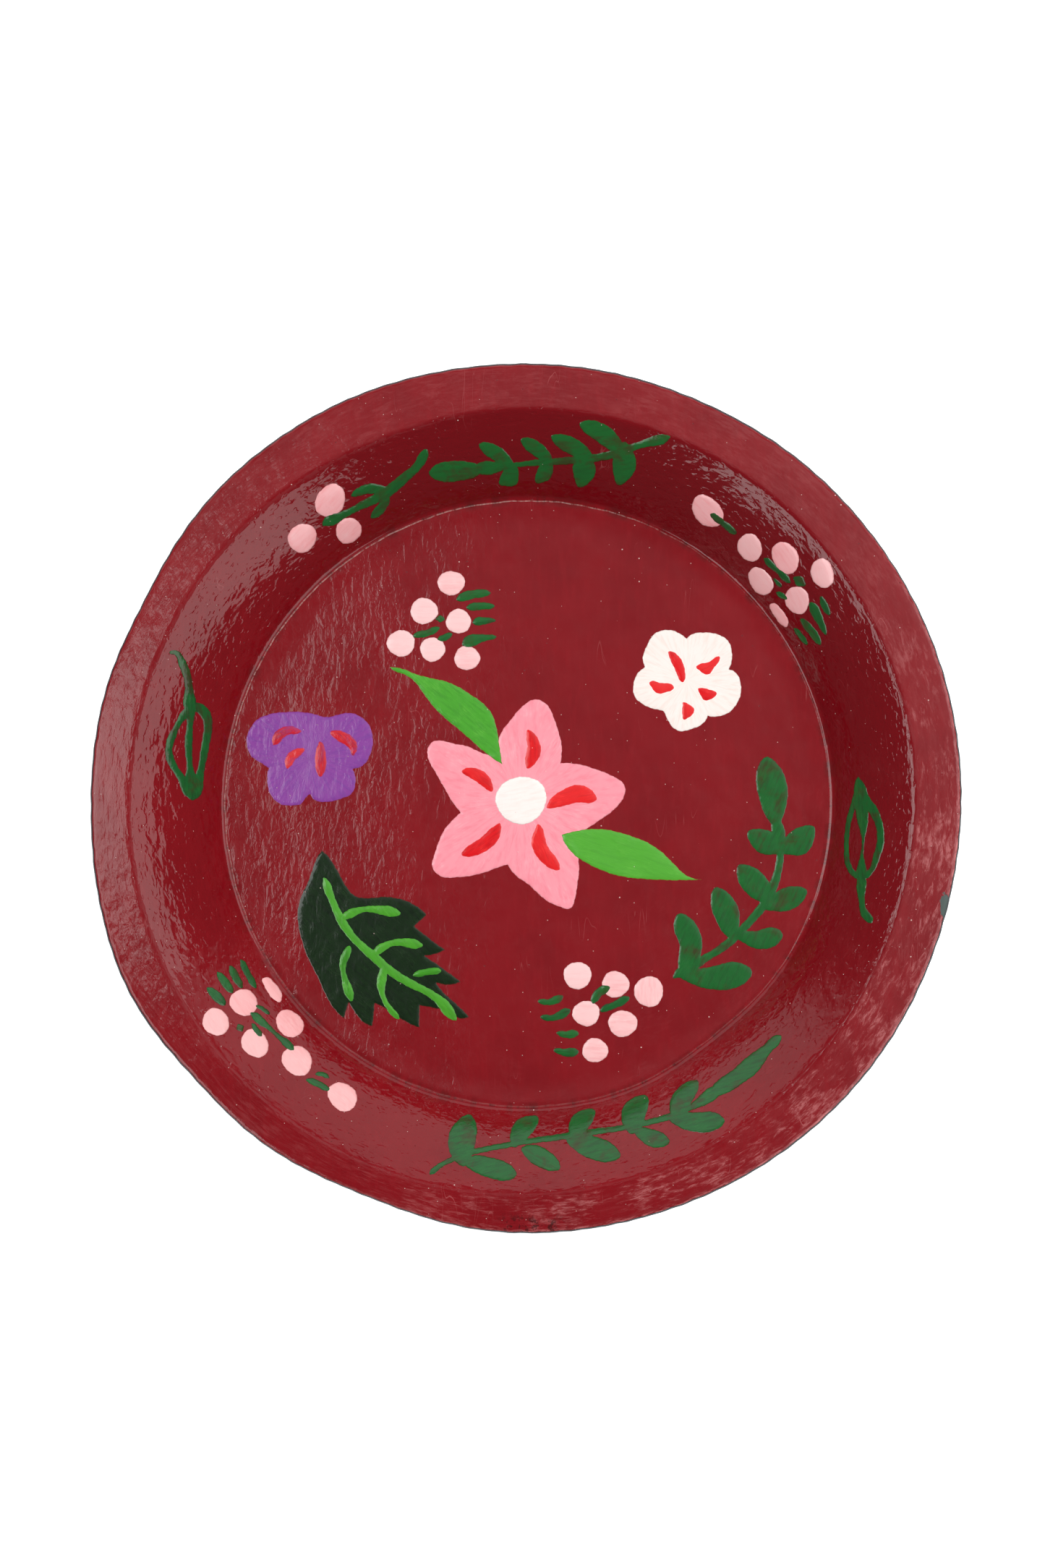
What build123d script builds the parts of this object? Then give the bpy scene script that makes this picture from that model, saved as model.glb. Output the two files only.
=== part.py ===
from build123d import *

import math
import os

# Driving dimensions, in millimetres and degrees. The origin is on the table
# under the middle of the tray, +Z is up and +Y is the far side of the pattern.
tray_diameter = 300.0
floor_diameter = 214.0  # where the floor and the wall would meet in a sharp corner
ridge_diameter = 272.0  # where the wall breaks over into the flat brim
sheet_thickness = 0.9
wire_diameter = 1.8
lacquer_thickness = 0.3
ground_thickness = 0.25
enamel_thickness = 0.3
paint_thickness = 0.3
crease_radius = 4.0  # bend between floor and wall, on the steel's upper face
ridge_radius = 3.0
wall_foot_slope = 50.0  # the wall stands steeper at its foot and flares at its top
wall_top_slope = 30.0
brim_slope = -3.0
rim_wrap = -40.0  # heading at which the face coats stop on the rolled edge
bead_end = -272.0  # heading at which the rolled sheet ends, pointing back up

# Levels above the steel's upper face.
coat_top = ground_thickness + enamel_thickness
film_top = coat_top + paint_thickness
second_top = film_top + paint_thickness
steel_under = -sheet_thickness
lacquer_under = steel_under - lacquer_thickness

wire_radius = wire_diameter / 2
bead_radius = wire_radius + sheet_thickness
bead_centre_r = tray_diameter / 2 - bead_radius - lacquer_thickness
floor_level = sheet_thickness + lacquer_thickness


# The section of the steel's upper face is a chain of straight runs and arcs
# from the axis outwards. Every coat is a band between two offsets of it.
def unit(heading):
    angle = math.radians(heading)
    return Vector(math.cos(angle), 0, math.sin(angle))


def upward(heading):
    return unit(heading + 90)


def straight(start, heading, length):
    return {"start": start, "heading": heading, "length": length, "turn": 0}


def bend(start, heading, radius, turn):
    signed = math.copysign(radius, turn)
    centre = start + upward(heading) * signed
    return {"heading": heading, "turn": turn, "signed": signed, "centre": centre}


def place(run, share, offset):
    if run["turn"] == 0:
        along = unit(run["heading"]) * (run["length"] * share)
        return run["start"] + along + upward(run["heading"]) * offset
    heading = run["heading"] + run["turn"] * share
    return run["centre"] - upward(heading) * (run["signed"] - offset)


def part_run(run, first, last):
    if run["turn"] == 0:
        start = place(run, first, 0)
        return straight(start, run["heading"], run["length"] * (last - first))
    heading = run["heading"] + run["turn"] * first
    return {**run, "heading": heading, "turn": run["turn"] * (last - first)}


def run_edge(run, offset):
    start, end = place(run, 0, offset), place(run, 1, offset)
    if run["turn"] == 0:
        return Line(start, end)
    return ThreePointArc(start, place(run, 0.5, offset), end)


def band(runs, low, high):
    edges = [run_edge(run, low) for run in runs]
    edges += [run_edge(run, high) for run in runs]
    first, last = runs[0], runs[-1]
    edges.append(Line(place(first, 0, low), place(first, 0, high)))
    edges.append(Line(place(last, 1, low), place(last, 1, high)))
    return revolve(Face(Wire(edges)), axis=Axis.Z)


crease_tangent = crease_radius * math.tan(math.radians(wall_foot_slope / 2))
floor_run = straight(Vector(0, 0, floor_level), 0, floor_diameter / 2 - crease_tangent)
crease_run = bend(place(floor_run, 1, 0), 0, crease_radius, wall_foot_slope)

# The wall is one large arc. Its horizontal run fixes its radius.
wall_turn = wall_top_slope - wall_foot_slope
wall_start = place(crease_run, 1, 0)
wall_sine_drop = math.sin(math.radians(wall_foot_slope)) - math.sin(math.radians(wall_top_slope))
wall_radius = (ridge_diameter / 2 - ridge_radius / 2 - wall_start.X) / wall_sine_drop
wall_run = bend(wall_start, wall_foot_slope, wall_radius, wall_turn)

ridge_run = bend(place(wall_run, 1, 0), wall_top_slope, ridge_radius, brim_slope - wall_top_slope)
brim_start = place(ridge_run, 1, 0)
bead_lead = bead_radius * math.sin(math.radians(-brim_slope))
brim_length = (bead_centre_r + bead_lead - brim_start.X) / math.cos(math.radians(brim_slope))
brim_run = straight(brim_start, brim_slope, brim_length)
bead_run = bend(place(brim_run, 1, 0), brim_slope, bead_radius, bead_end - brim_slope)
wrap_share = (rim_wrap - brim_slope) / (bead_end - brim_slope)
bead_front = part_run(bead_run, 0, wrap_share)
bead_back = part_run(bead_run, wrap_share, 1)

open_runs = [floor_run, crease_run, wall_run, ridge_run, brim_run]
face_runs = open_runs + [bead_front]


def make_tray_body():
    return band(open_runs + [bead_run], steel_under, 0)


def make_rim_wire():
    centre = bead_run["centre"]
    circle = Plane(origin=centre, z_dir=(0, 1, 0)) * Circle(wire_radius)
    return revolve(circle, axis=Axis.Z)


def make_base_lacquer():
    return band([floor_run], lacquer_under, steel_under)


# On the bead the lacquer lies on the outer side of the roll, and it closes the
# seam between the end of the roll and the underside of the brim.
def make_rim_lacquer():
    under = band([crease_run, wall_run, ridge_run, brim_run], lacquer_under, steel_under)
    over = band([bead_back], 0, lacquer_thickness)
    roll_end = place(bead_run, 1, 0)
    seam_height = place(brim_run, 1, lacquer_under).Z - roll_end.Z + lacquer_thickness
    seam_end = roll_end + upward(bead_end) * lacquer_thickness
    seam_box = [
        roll_end,
        roll_end + Vector(0, 0, seam_height),
        seam_end + Vector(0, 0, seam_height),
        seam_end,
    ]
    seam = revolve(Face(Wire(Polyline(*seam_box, close=True).edges())), axis=Axis.Z)
    brim_steel = band([ridge_run, brim_run], steel_under, 0)
    return under + over + (seam - brim_steel)


def make_ground_coat():
    return band(face_runs, 0, ground_thickness)


def make_face_enamel():
    return band(face_runs, ground_thickness, coat_top)


# Paint outlines lie flat in XY, seen from above, and are cut down onto the
# surface below them.
def as_face(edges):
    return Face(Wire(edges))


def loop(points):
    return as_face([Spline(*points, periodic=True)])


def outline(*sections):
    edges = []
    start = sections[-1][-1]
    for section in sections:
        points = [start, *section]
        edges.append(Spline(*points) if len(points) > 2 else Line(*points))
        start = section[-1]
    return as_face(edges)


def dab(points, half_widths):
    middle = [Vector(*point) for point in points]
    last = len(middle) - 1
    ahead, left, right = [], [], []
    for index, point in enumerate(middle):
        before, after = middle[max(index - 1, 0)], middle[min(index + 1, last)]
        direction = (after - before).normalized()
        side = Vector(-direction.Y, direction.X) * half_widths[index]
        ahead.append(direction)
        left.append(point + side)
        right.append(point - side)
    head = middle[0] - ahead[0] * half_widths[0]
    tail = middle[last] + ahead[last] * half_widths[last]
    return loop([head, *left, tail, *reversed(right)])


# A berry is one round dab of a loaded brush, never quite an ellipse.
berry_points = 9
berry_unevenness = 0.03


def berry(x, y, long_half, short_half, tilt, phase=0.0):
    points = []
    for index in range(berry_points):
        angle = math.tau * index / berry_points
        uneven = 1 + berry_unevenness * math.sin(3 * angle + phase)
        points.append((long_half * uneven * math.cos(angle), short_half * uneven * math.sin(angle)))
    return Location((x, y, 0), (0, 0, 1), tilt) * loop(points)


def berries(rows):
    return [berry(*row, phase=index * 1.7) for index, row in enumerate(rows)]


def joined(faces):
    total = faces[0]
    for face in faces[1:]:
        total = total + face
    return total


prism_floor = -1.0
prism_height = 40.0


def prism(faces):
    shape = joined(faces)
    return extrude(Pos(0, 0, prism_floor) * shape, prism_height, dir=(0, 0, 1))


def floor_film(faces, top=film_top):
    height = top - coat_top
    return extrude(Pos(0, 0, floor_level + coat_top) * joined(faces), height, dir=(0, 0, 1))


def wall_film(faces, top=film_top):
    return band([crease_run, wall_run, ridge_run, brim_run], coat_top, top) & prism(faces)


# Paint laid over paint: it is one coat higher, less what lies under it.
def over_floor(faces, *under):
    shape = floor_film(faces, second_top)
    for below in under:
        shape = shape - below
    return shape


def over_wall(faces, *under):
    shape = wall_film(faces, second_top)
    for below in under:
        shape = shape - below
    return shape


# ---- centre flower -------------------------------------------------------
centre_petals = outline(
    [
        (16.3, 13.2), (24.8, 10.7), (30.2, 8.3), (33.4, 5.2),
        (31.9, -0.3), (28.1, -4.1), (20.1, -9.5), (14.5, -14.0),
    ],
    [
        (17.2, -20.1), (17.0, -27.7), (16.2, -32.7), (14.2, -37.3), (10.8, -36.8),
        (4.5, -33.4), (0.3, -29.4), (-3.9, -26.4), (-7.6, -21.8),
    ],
    [
        (-12.3, -23.5), (-19.0, -25.6), (-25.8, -26.4), (-31.7, -25.6), (-33.9, -22.5),
        (-32.9, -17.6), (-30.8, -11.7), (-27.5, -7.0), (-23.9, -3.8),
    ],
    [
        (-27.5, 1.0), (-30.8, 6.8), (-34.2, 12.7), (-35.7, 17.8), (-33.8, 21.1),
        (-27.5, 20.7), (-20.7, 19.1), (-14.5, 16.5), (-10.6, 17.5),
    ],
    [
        (-10.4, 22.9), (-6.4, 28.8), (-1.3, 34.3), (2.6, 35.8), (5.4, 34.6),
        (9.2, 27.6), (11.2, 20.4), (10.9, 13.4),
    ],
)
centre_eye = berry(-2.8, 0.6, 8.9, 8.3, 10)
centre_strokes = [
    dab([(0, 24.2), (1.7, 18.5), (-0.1, 12.9)], [1.0, 2.4, 1.4]),
    dab([(6.8, -1.6), (12, 1.2), (17.8, 2.7), (21.6, 1.4)], [0.9, 2.7, 3.1, 2.1]),
    dab([(3.4, -9), (3.4, -15), (7, -20.4), (9.7, -22.9)], [1.1, 2.6, 2.4, 1.3]),
    dab([(-10.6, -8.5), (-13.8, -13.1), (-18.4, -16.3), (-22.4, -18)], [1.0, 2.5, 2.3, 1.3]),
    dab([(-22.6, 10.7), (-18.6, 9.6), (-15.2, 7), (-13.4, 4.3)], [1.0, 2.1, 2.0, 0.9]),
]
upper_leaf = outline(
    [
        (-10.9, 22.9), (-14, 32.2), (-19.9, 37.2), (-28.3, 41.9),
        (-39.3, 44.7), (-45, 46.9), (-48.8, 47.4),
    ],
    [
        (-47.6, 46.2), (-43.5, 44.6), (-35.9, 36.4), (-30, 29.8),
        (-23.3, 24.2), (-17.4, 18.9), (-9.4, 13.1),
    ],
)
lower_leaf = outline(
    [(16.3, -10.3), (26.5, -9.8), (34, -11.6), (42.5, -15.1), (49.2, -20.6), (55, -26), (60.2, -27.3)],
    [(55.6, -27.5), (41.6, -27.2), (29.8, -25.6), (22.2, -22.6), (15.5, -18.4), (11.3, -11.7)],
)

# ---- white flower --------------------------------------------------------
white_petals = outline(
    [(58, 58.7), (61.7, 58.9), (66.3, 58.1), (69.5, 55.8), (70.8, 51.9), (69.7, 46)],
    [
        (72.3, 44.5), (73.9, 40.4), (73.6, 36.7), (71.8, 33),
        (68.6, 30.3), (65.8, 29.5), (62.3, 29.8),
    ],
    [(60, 26.6), (56.7, 25.2), (53.5, 24.4), (50.3, 25.6), (48.2, 28.8), (46.9, 31.6)],
    [
        (43.8, 32.2), (39.7, 33.9), (37.4, 35.8), (36.3, 39),
        (36.7, 42.2), (38.3, 45.2), (40.5, 46.9),
    ],
    [
        (39.8, 50.9), (41.7, 55.5), (43.8, 58.6), (47.4, 59.8),
        (50.6, 59.6), (53.4, 58), (55.1, 56.8),
    ],
)
white_strokes = [
    dab([(49.4, 51.7), (51.2, 49.3), (52.8, 45.6), (53.5, 42.4)], [0.9, 1.7, 1.6, 0.9]),
    dab([(59.6, 46.8), (61.8, 46.2), (64.4, 48.2), (65.8, 49.7)], [1.2, 2.1, 1.2, 0.9]),
    dab([(43.2, 41.0), (45.4, 39.5), (48, 39.7), (49.4, 39.7)], [1.2, 1.9, 1.6, 1.2]),
    dab([(59.8, 38.9), (61.8, 37.1), (64.5, 37.4)], [0.9, 2.0, 1.1]),
    dab([(54.1, 34), (55.5, 31.7), (54.4, 29.3)], [0.7, 2.1, 1.0]),
]

# ---- purple flower -------------------------------------------------------
purple_petals = outline(
    [
        (-98.7, 18.6), (-99.2, 22.2), (-98, 25.9), (-95.7, 28.9), (-91.5, 30.9), (-83.7, 31.8),
        (-76, 31.1), (-70.5, 29.9), (-64.5, 31.3), (-60.3, 30.6), (-56.9, 28.1), (-54.9, 23.5),
        (-55.2, 18.2), (-57.8, 13.3), (-62, 11.7),
    ],
    [(-61, 9.3), (-60.9, 6.1), (-62.4, 2.9), (-66, 1.2), (-72.1, 0.1), (-74.6, 0.6), (-76.7, 2.8)],
    [
        (-78, 2), (-79.9, -0.4), (-83, -1.1), (-86.4, -0.8),
        (-89.4, 1), (-91.4, 4.6), (-91.3, 12.1),
    ],
    [(-94.3, 14), (-97, 15.8)],
)
purple_strokes = [
    dab([(-89.2, 21.3), (-87, 24.2), (-83.8, 25.3), (-80.4, 24.9)], [1.3, 1.8, 1.5, 0.6]),
    dab([(-68.7, 24.3), (-64.7, 22.4), (-61.8, 19.9), (-61.7, 16.9)], [1.1, 2.0, 1.7, 0.7]),
    dab([(-84.7, 12.9), (-83.3, 16), (-79.4, 18.4)], [1.1, 1.7, 0.8]),
    dab([(-73.2, 20.6), (-73.1, 15.4), (-73.1, 10.1)], [0.8, 2.0, 1.2]),
]

# ---- dark serrated leaf --------------------------------------------------
leaf_blade = outline(
    [
        (-67.4, -23.3), (-64.3, -28.9), (-61.5, -32.3), (-57.5, -33.5),
        (-51.9, -33.1), (-43.4, -34.3), (-39.5, -36.2), (-35.8, -39.5),
    ],
    [(-40.2, -43.3)],
    [(-35, -47.5), (-29.4, -51.6)],
    [(-32.2, -52.9), (-36.6, -53.6)],
    [(-32.2, -56.6), (-28.3, -59.4), (-23.8, -62.8)],
    [(-28.3, -63.8), (-32.6, -63)],
    [(-29.4, -66.9), (-25.4, -70.5), (-21, -75)],
    [(-24.9, -75.3), (-28.3, -73.3), (-33, -71.9), (-38.3, -71)],
    [(-38.3, -78.6)],
    [(-44, -76.1), (-47.4, -73.8), (-53.9, -70.2)],
    [(-54.7, -78.2)],
    [(-58.7, -76.1), (-61.5, -72.4), (-63, -69.9)],
    [(-64.8, -75.5)],
    [
        (-67.7, -72.7), (-71.6, -66.4), (-74.1, -60.8), (-77.2, -54.8), (-80, -46.7),
        (-81.1, -39), (-80.2, -34), (-76.9, -26.5), (-75.4, -21.9), (-72.6, -16.8),
    ],
)
leaf_veins = [
    dab(
        [
            (-71.8, -26.6), (-69, -34), (-66.4, -40), (-60.3, -48.6), (-54.7, -53.6),
            (-49.7, -58), (-40.7, -63.7), (-32.2, -68.5), (-26, -75.6),
        ],
        [0.4, 1.2, 1.5, 1.3, 1.6, 1.5, 1.4, 1.5, 0.8],
    ),
    dab([(-65, -40.2), (-59.2, -37.7), (-53.6, -37.5), (-45.6, -38.8)], [0.9, 1.1, 1.3, 0.8]),
    dab([(-54, -52.6), (-48.5, -49.4), (-44, -49), (-38, -50)], [0.9, 1.1, 1.4, 0.9]),
    dab([(-40, -60.3), (-35.6, -59.3), (-31.6, -58.9)], [0.7, 1.1, 0.9]),
    dab([(-63, -51), (-65.1, -56.4), (-64.2, -62.6), (-62.2, -68.6)], [0.9, 1.2, 1.2, 0.9]),
    dab([(-51, -58.6), (-51.6, -65.5), (-48.8, -72), (-45.6, -75.4)], [1.1, 1.2, 1.0, 0.4]),
]

# ---- berries on the floor: x, y, half lengths, tilt ------------------------
upper_berries = berries([
    (-27.4, 76.8, 4.8, 4.25, 0), (-36.9, 67.0, 4.8, 4.6, 0), (-24.8, 63.3, 4.4, 4.3, 0),
    (-45.0, 55.7, 4.9, 4.65, 0), (-33.9, 53.5, 4.4, 4.25, 0), (-21.8, 50.4, 4.5, 4.25, 0),
])
upper_sprigs = [
    dab([(-24.6, 71.4), (-19, 72.9), (-14.1, 73.2)], [1.1, 1.5, 0.7]),
    dab([(-21.1, 68.3), (-16.5, 68.6), (-12.6, 68.6)], [1.0, 1.3, 0.6]),
    dab([(-18.6, 63.2), (-15, 63.5), (-12.1, 63.6)], [1.3, 1.2, 0.4]),
    dab([(-21.8, 56.0), (-18.4, 57), (-14.4, 57.6), (-11.8, 57.8)], [1.9, 1.9, 1.0, 0.5]),
    dab([(-32.3, 64.2), (-31.3, 64.3), (-30.3, 64.2)], [0.7, 1.3, 0.8]),
    dab([(-40, 58.4), (-35.5, 59.4), (-32.1, 60.8)], [0.8, 1.2, 0.8]),
    dab([(-31.5, 57.2), (-29.4, 57.7), (-27.6, 58.7)], [0.8, 1.2, 0.8]),
]
lower_berries = berries([
    (16.8, -60.6, 4.85, 4.75, 0), (30.0, -63.7, 4.75, 4.6, 0), (41.6, -66.2, 5.35, 5.05, 90),
    (19.8, -73.8, 4.75, 4.4, 0), (32.5, -77.3, 5.05, 4.6, 0), (22.9, -86.6, 4.5, 4.2, 0),
])
lower_sprigs = [
    dab([(22.4, -69.4), (24.3, -66.5), (27.3, -65)], [1.1, 1.5, 1.2]),
    dab([(25.4, -72.5), (29.5, -70.9), (34, -68.6)], [0.9, 1.2, 1.0]),
    dab([(3.6, -69.5), (6.7, -69.9), (9.4, -69), (11, -68.2)], [0.7, 1.1, 1.4, 1.0]),
    dab([(4.5, -75), (7.5, -75.4), (10.9, -74.3), (13.4, -72.9)], [0.7, 1.1, 1.5, 1.1]),
    dab([(9.9, -80.6), (12.6, -81.1), (15.9, -80.8)], [0.6, 1.2, 1.3]),
    dab([(9.1, -86.5), (12, -87.3), (16, -87.2)], [0.7, 1.3, 1.3]),
]

# ---- green sprig on the right of the floor --------------------------------
right_sprig = [
    dab(
        [
            (50.6, -61), (60, -55.4), (69.5, -49.2), (74, -44.8),
            (81.6, -36), (86, -26.5), (87.4, -15.7), (86, -7),
        ],
        [0.8, 1.5, 1.5, 1.4, 1.6, 1.5, 1.6, 1.4],
    ),
    dab([(86, -8), (84.9, 3), (83.2, 11.5)], [1.6, 5.2, 3.9]),
    dab([(86.4, -16.6), (81.5, -14), (78.5, -12.2)], [2.4, 4.2, 2.9]),
    dab([(88, -17), (93.6, -14.6), (96.6, -11.4)], [1.8, 4.6, 3.4]),
    dab([(82.6, -33), (78.3, -28.6), (75, -24.9)], [3.0, 4.4, 3.3]),
    dab([(83.4, -36.4), (89.4, -34.3), (93.8, -32.4)], [2.0, 4.0, 3.0]),
    dab([(70.6, -46.6), (68.8, -39.4), (66, -32.9)], [2.0, 4.4, 3.1]),
    dab([(73.6, -47), (79.6, -48.3), (84.9, -47.1)], [1.6, 3.2, 3.3]),
    dab([(54.4, -58.6), (56.2, -49.6), (53.4, -42.3)], [2.6, 4.0, 3.4]),
    dab([(53.5, -60.8), (63, -61.6), (73.6, -60)], [1.2, 3.9, 3.9]),
]

# ---- wall, top left -------------------------------------------------------
wall_left_berries = berries([
    (-68.3, 104.0, 6.0, 4.5, 50), (-78.4, 91.4, 5.3, 4.3, 45), (-62.8, 94.6, 4.7, 3.8, 40),
])
wall_left_sprig = [
    dab(
        [
            (-70.6, 96.6), (-64.8, 99.3), (-56.7, 103.4), (-49.2, 107.2),
            (-43, 111.9), (-37.4, 116.8), (-35, 120.6),
        ],
        [1.1, 1.3, 1.3, 1.7, 1.6, 1.5, 1.1],
    ),
    dab([(-50, 108.5), (-56.4, 108), (-60.8, 106)], [0.9, 1.5, 0.5]),
    dab([(-49, 105.8), (-51, 102.6), (-54.6, 99.2)], [1.1, 1.5, 0.6]),
]

# ---- wall, far side -------------------------------------------------------
wall_top_sprig = [
    dab(
        [
            (49.2, 124.2), (40.6, 122.4), (34.5, 120.8), (28.5, 119.2),
            (19.4, 118.2), (10.3, 117.7), (1.8, 117.3), (-8, 116.3), (-17.8, 115.5),
        ],
        [0.9, 1.2, 1.4, 1.3, 1.3, 1.1, 1.0, 1.1, 1.3],
    ),
    dab([(-16.6, 115.4), (-24.9, 114.7), (-32, 114)], [1.4, 3.2, 2.3]),
    dab([(-6.2, 117.4), (-11.2, 120.7), (-15.2, 122.6)], [1.4, 2.4, 1.5]),
    dab([(-5, 115.5), (-6.2, 113), (-8.8, 111.6)], [2.0, 3.1, 1.7]),
    dab([(7.4, 119), (2.7, 122.2), (-0.8, 124.2)], [1.3, 2.4, 1.4]),
    dab([(8, 116.8), (5.6, 114), (3.8, 112.4)], [1.3, 2.6, 1.7]),
    dab([(21, 119.8), (14.8, 122.9), (10, 125)], [1.6, 2.7, 1.5]),
    dab([(20.2, 118.2), (19.6, 114.2), (18.8, 112.4)], [2.8, 4.1, 3.2]),
    dab([(32.4, 121.5), (25.2, 126.9), (20.2, 129)], [1.8, 3.0, 1.7]),
    dab([(34.2, 120), (33.6, 115), (32.4, 112)], [3.2, 4.1, 2.6]),
]

# ---- wall, top right ------------------------------------------------------
wall_right_berries = berries([
    (62.6, 99.9, 6.3, 4.3, -42), (77.2, 87.3, 4.8, 4.0, -55), (89.5, 83.1, 5.8, 4.2, -58),
    (80.9, 76.1, 5.3, 3.5, -50), (102.2, 77.2, 5.1, 3.8, -70), (93.5, 68.9, 4.8, 4.0, -60),
    (87.3, 64.6, 5.0, 1.7, -54),
])
wall_right_sprigs = [
    dab([(64.2, 98.6), (67.6, 96), (72.2, 92.3)], [1.1, 1.0, 0.6]),
    dab([(82.4, 83.2), (86.6, 79.2), (91, 75)], [0.6, 0.8, 0.5]),
    dab([(85.6, 76.4), (86.8, 75), (88, 73.9)], [0.4, 0.7, 0.4]),
    dab([(86.6, 71.9), (88.2, 70.8), (89.8, 69.7)], [0.5, 0.9, 0.5]),
    dab([(93, 76), (94.3, 75.1), (95.6, 74.2)], [1.0, 1.7, 1.1]),
    dab([(98.8, 66.6), (100.4, 63.4), (102, 60), (103.3, 57)], [1.4, 1.6, 1.2, 0.4]),
    dab([(101.8, 69), (103, 66.3), (104.5, 63.3)], [0.7, 1.2, 0.5]),
    dab([(95, 62.3), (98, 58.8), (101.4, 53.8)], [0.6, 1.3, 0.5]),
    dab([(92.6, 59.6), (94.8, 56.8), (96.9, 54.1)], [0.4, 0.9, 0.4]),
]

# ---- wall, right: an outlined leaf on its stalk -----------------------------
wall_right_leaf = [
    dab(
        [
            (114.4, 7.2), (113.7, 2), (112.3, -3), (110.7, -9.5),
            (110.2, -17), (110.9, -23), (113.4, -26.4), (115.8, -27),
        ],
        [0.5, 1.0, 1.0, 0.9, 0.9, 1.0, 1.1, 1.0],
    ),
    dab(
        [
            (114.8, 6.2), (116.2, 0.6), (119.2, -4), (121.4, -9.5),
            (121.8, -15), (120.2, -21), (118, -25.6), (115.4, -27.2),
        ],
        [0.7, 1.7, 1.6, 1.3, 1.3, 1.2, 1.1, 1.0],
    ),
    dab([(114.8, 4), (115.2, -1), (115.6, -6.5)], [0.8, 2.2, 1.2]),
    dab([(115.4, -2), (116, -12), (115.4, -21), (115.2, -28)], [1.2, 0.9, 0.9, 1.1]),
    dab([(115.2, -27), (115.2, -33.9), (115.9, -39), (118, -42.2)], [1.2, 1.2, 1.3, 1.2]),
]

# ---- wall, near side ------------------------------------------------------
wall_bottom_sprig = [
    dab(
        [
            (-32.6, -128.6), (-29.7, -126.3), (-25, -123.8), (-17.9, -121.4), (-9, -119.6),
            (-0.3, -118), (10.4, -116.6), (21, -114.9), (31.6, -113.5), (40.5, -111.7),
            (49.5, -109.2), (57.4, -105.7), (66.3, -99.7),
        ],
        [0.7, 0.9, 1.0, 1.0, 1.0, 1.0, 1.1, 1.1, 1.0, 1.0, 1.1, 1.2, 1.3],
    ),
    dab([(64.4, -101), (72.2, -95.9), (78, -91), (83.1, -85.7), (86.5, -82.4)], [1.7, 2.9, 3.1, 1.8, 1.3]),
    dab([(-22.4, -123), (-22.5, -116.8), (-21.4, -112.6)], [3.4, 4.8, 3.9]),
    dab([(-19.2, -125), (-12, -127), (-5.8, -128.8)], [2.2, 3.4, 2.6]),
    dab([(-4, -117.6), (-1.9, -113.6), (1.2, -111.3)], [2.4, 3.5, 2.6]),
    dab([(0.4, -121), (5.8, -123.9), (9.8, -126.2)], [2.3, 3.2, 2.1]),
    dab([(16.4, -114.8), (18.4, -111), (21.3, -108.6)], [2.8, 3.5, 2.2]),
    dab([(16, -117.6), (23.8, -120.4), (29.6, -122.2)], [2.4, 3.9, 2.8]),
    dab([(36, -111.4), (37, -107.2), (39.2, -104.6)], [3.8, 4.2, 3.0]),
    dab([(38.2, -114.4), (43, -116.7), (46.8, -117.6)], [1.6, 2.9, 2.4]),
    dab([(51.2, -106.8), (54.2, -102), (57.3, -98.6)], [2.7, 3.4, 2.1]),
    dab([(50.8, -110.2), (58.5, -111.3), (65.2, -110.9)], [1.8, 3.4, 2.9]),
]

# ---- wall, bottom left ------------------------------------------------------
wall_low_berries = berries([
    (-107.0, -76.9, 4.9, 4.2, -60), (-98.3, -70.1, 4.9, 4.3, -50), (-89.3, -65.4, 5.2, 1.9, -55),
    (-83.0, -77.3, 5.3, 4.0, -50), (-93.9, -84.2, 5.3, 4.1, -55), (-79.7, -90.2, 5.6, 4.6, -50),
    (-63.9, -102.6, 5.6, 4.3, -45),
])
wall_low_sprigs = [
    dab([(-109.8, -65.4), (-107.2, -68), (-104.8, -70.4)], [0.8, 1.6, 1.0]),
    dab([(-107, -59.9), (-104.6, -63.3), (-102.4, -66.2)], [0.6, 1.4, 0.8]),
    dab([(-103.2, -57.7), (-101.4, -61.2), (-99.4, -64.6)], [0.6, 1.3, 0.6]),
    dab([(-99.9, -55.4), (-97.6, -60), (-94.8, -64.8)], [0.5, 1.0, 0.4]),
    dab([(-95.4, -73.9), (-90.6, -78), (-85.6, -82.4), (-81.2, -86.3)], [0.7, 1.0, 0.9, 0.6]),
    dab([(-94, -71.2), (-91.8, -72.4), (-90, -74)], [0.4, 0.7, 0.4]),
    dab([(-95, -77.6), (-93.6, -79.7), (-92.2, -81.4)], [0.5, 0.9, 0.8]),
    dab([(-99.4, -78.2), (-99, -78.8), (-98.6, -79.6)], [0.8, 1.3, 0.8]),
    dab([(-75.8, -96.7), (-72.2, -98.3), (-68.6, -100.2)], [0.6, 1.1, 0.5]),
    dab([(-73, -94.7), (-71, -94.9), (-68.8, -96.1)], [0.5, 0.8, 0.3]),
]

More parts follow.
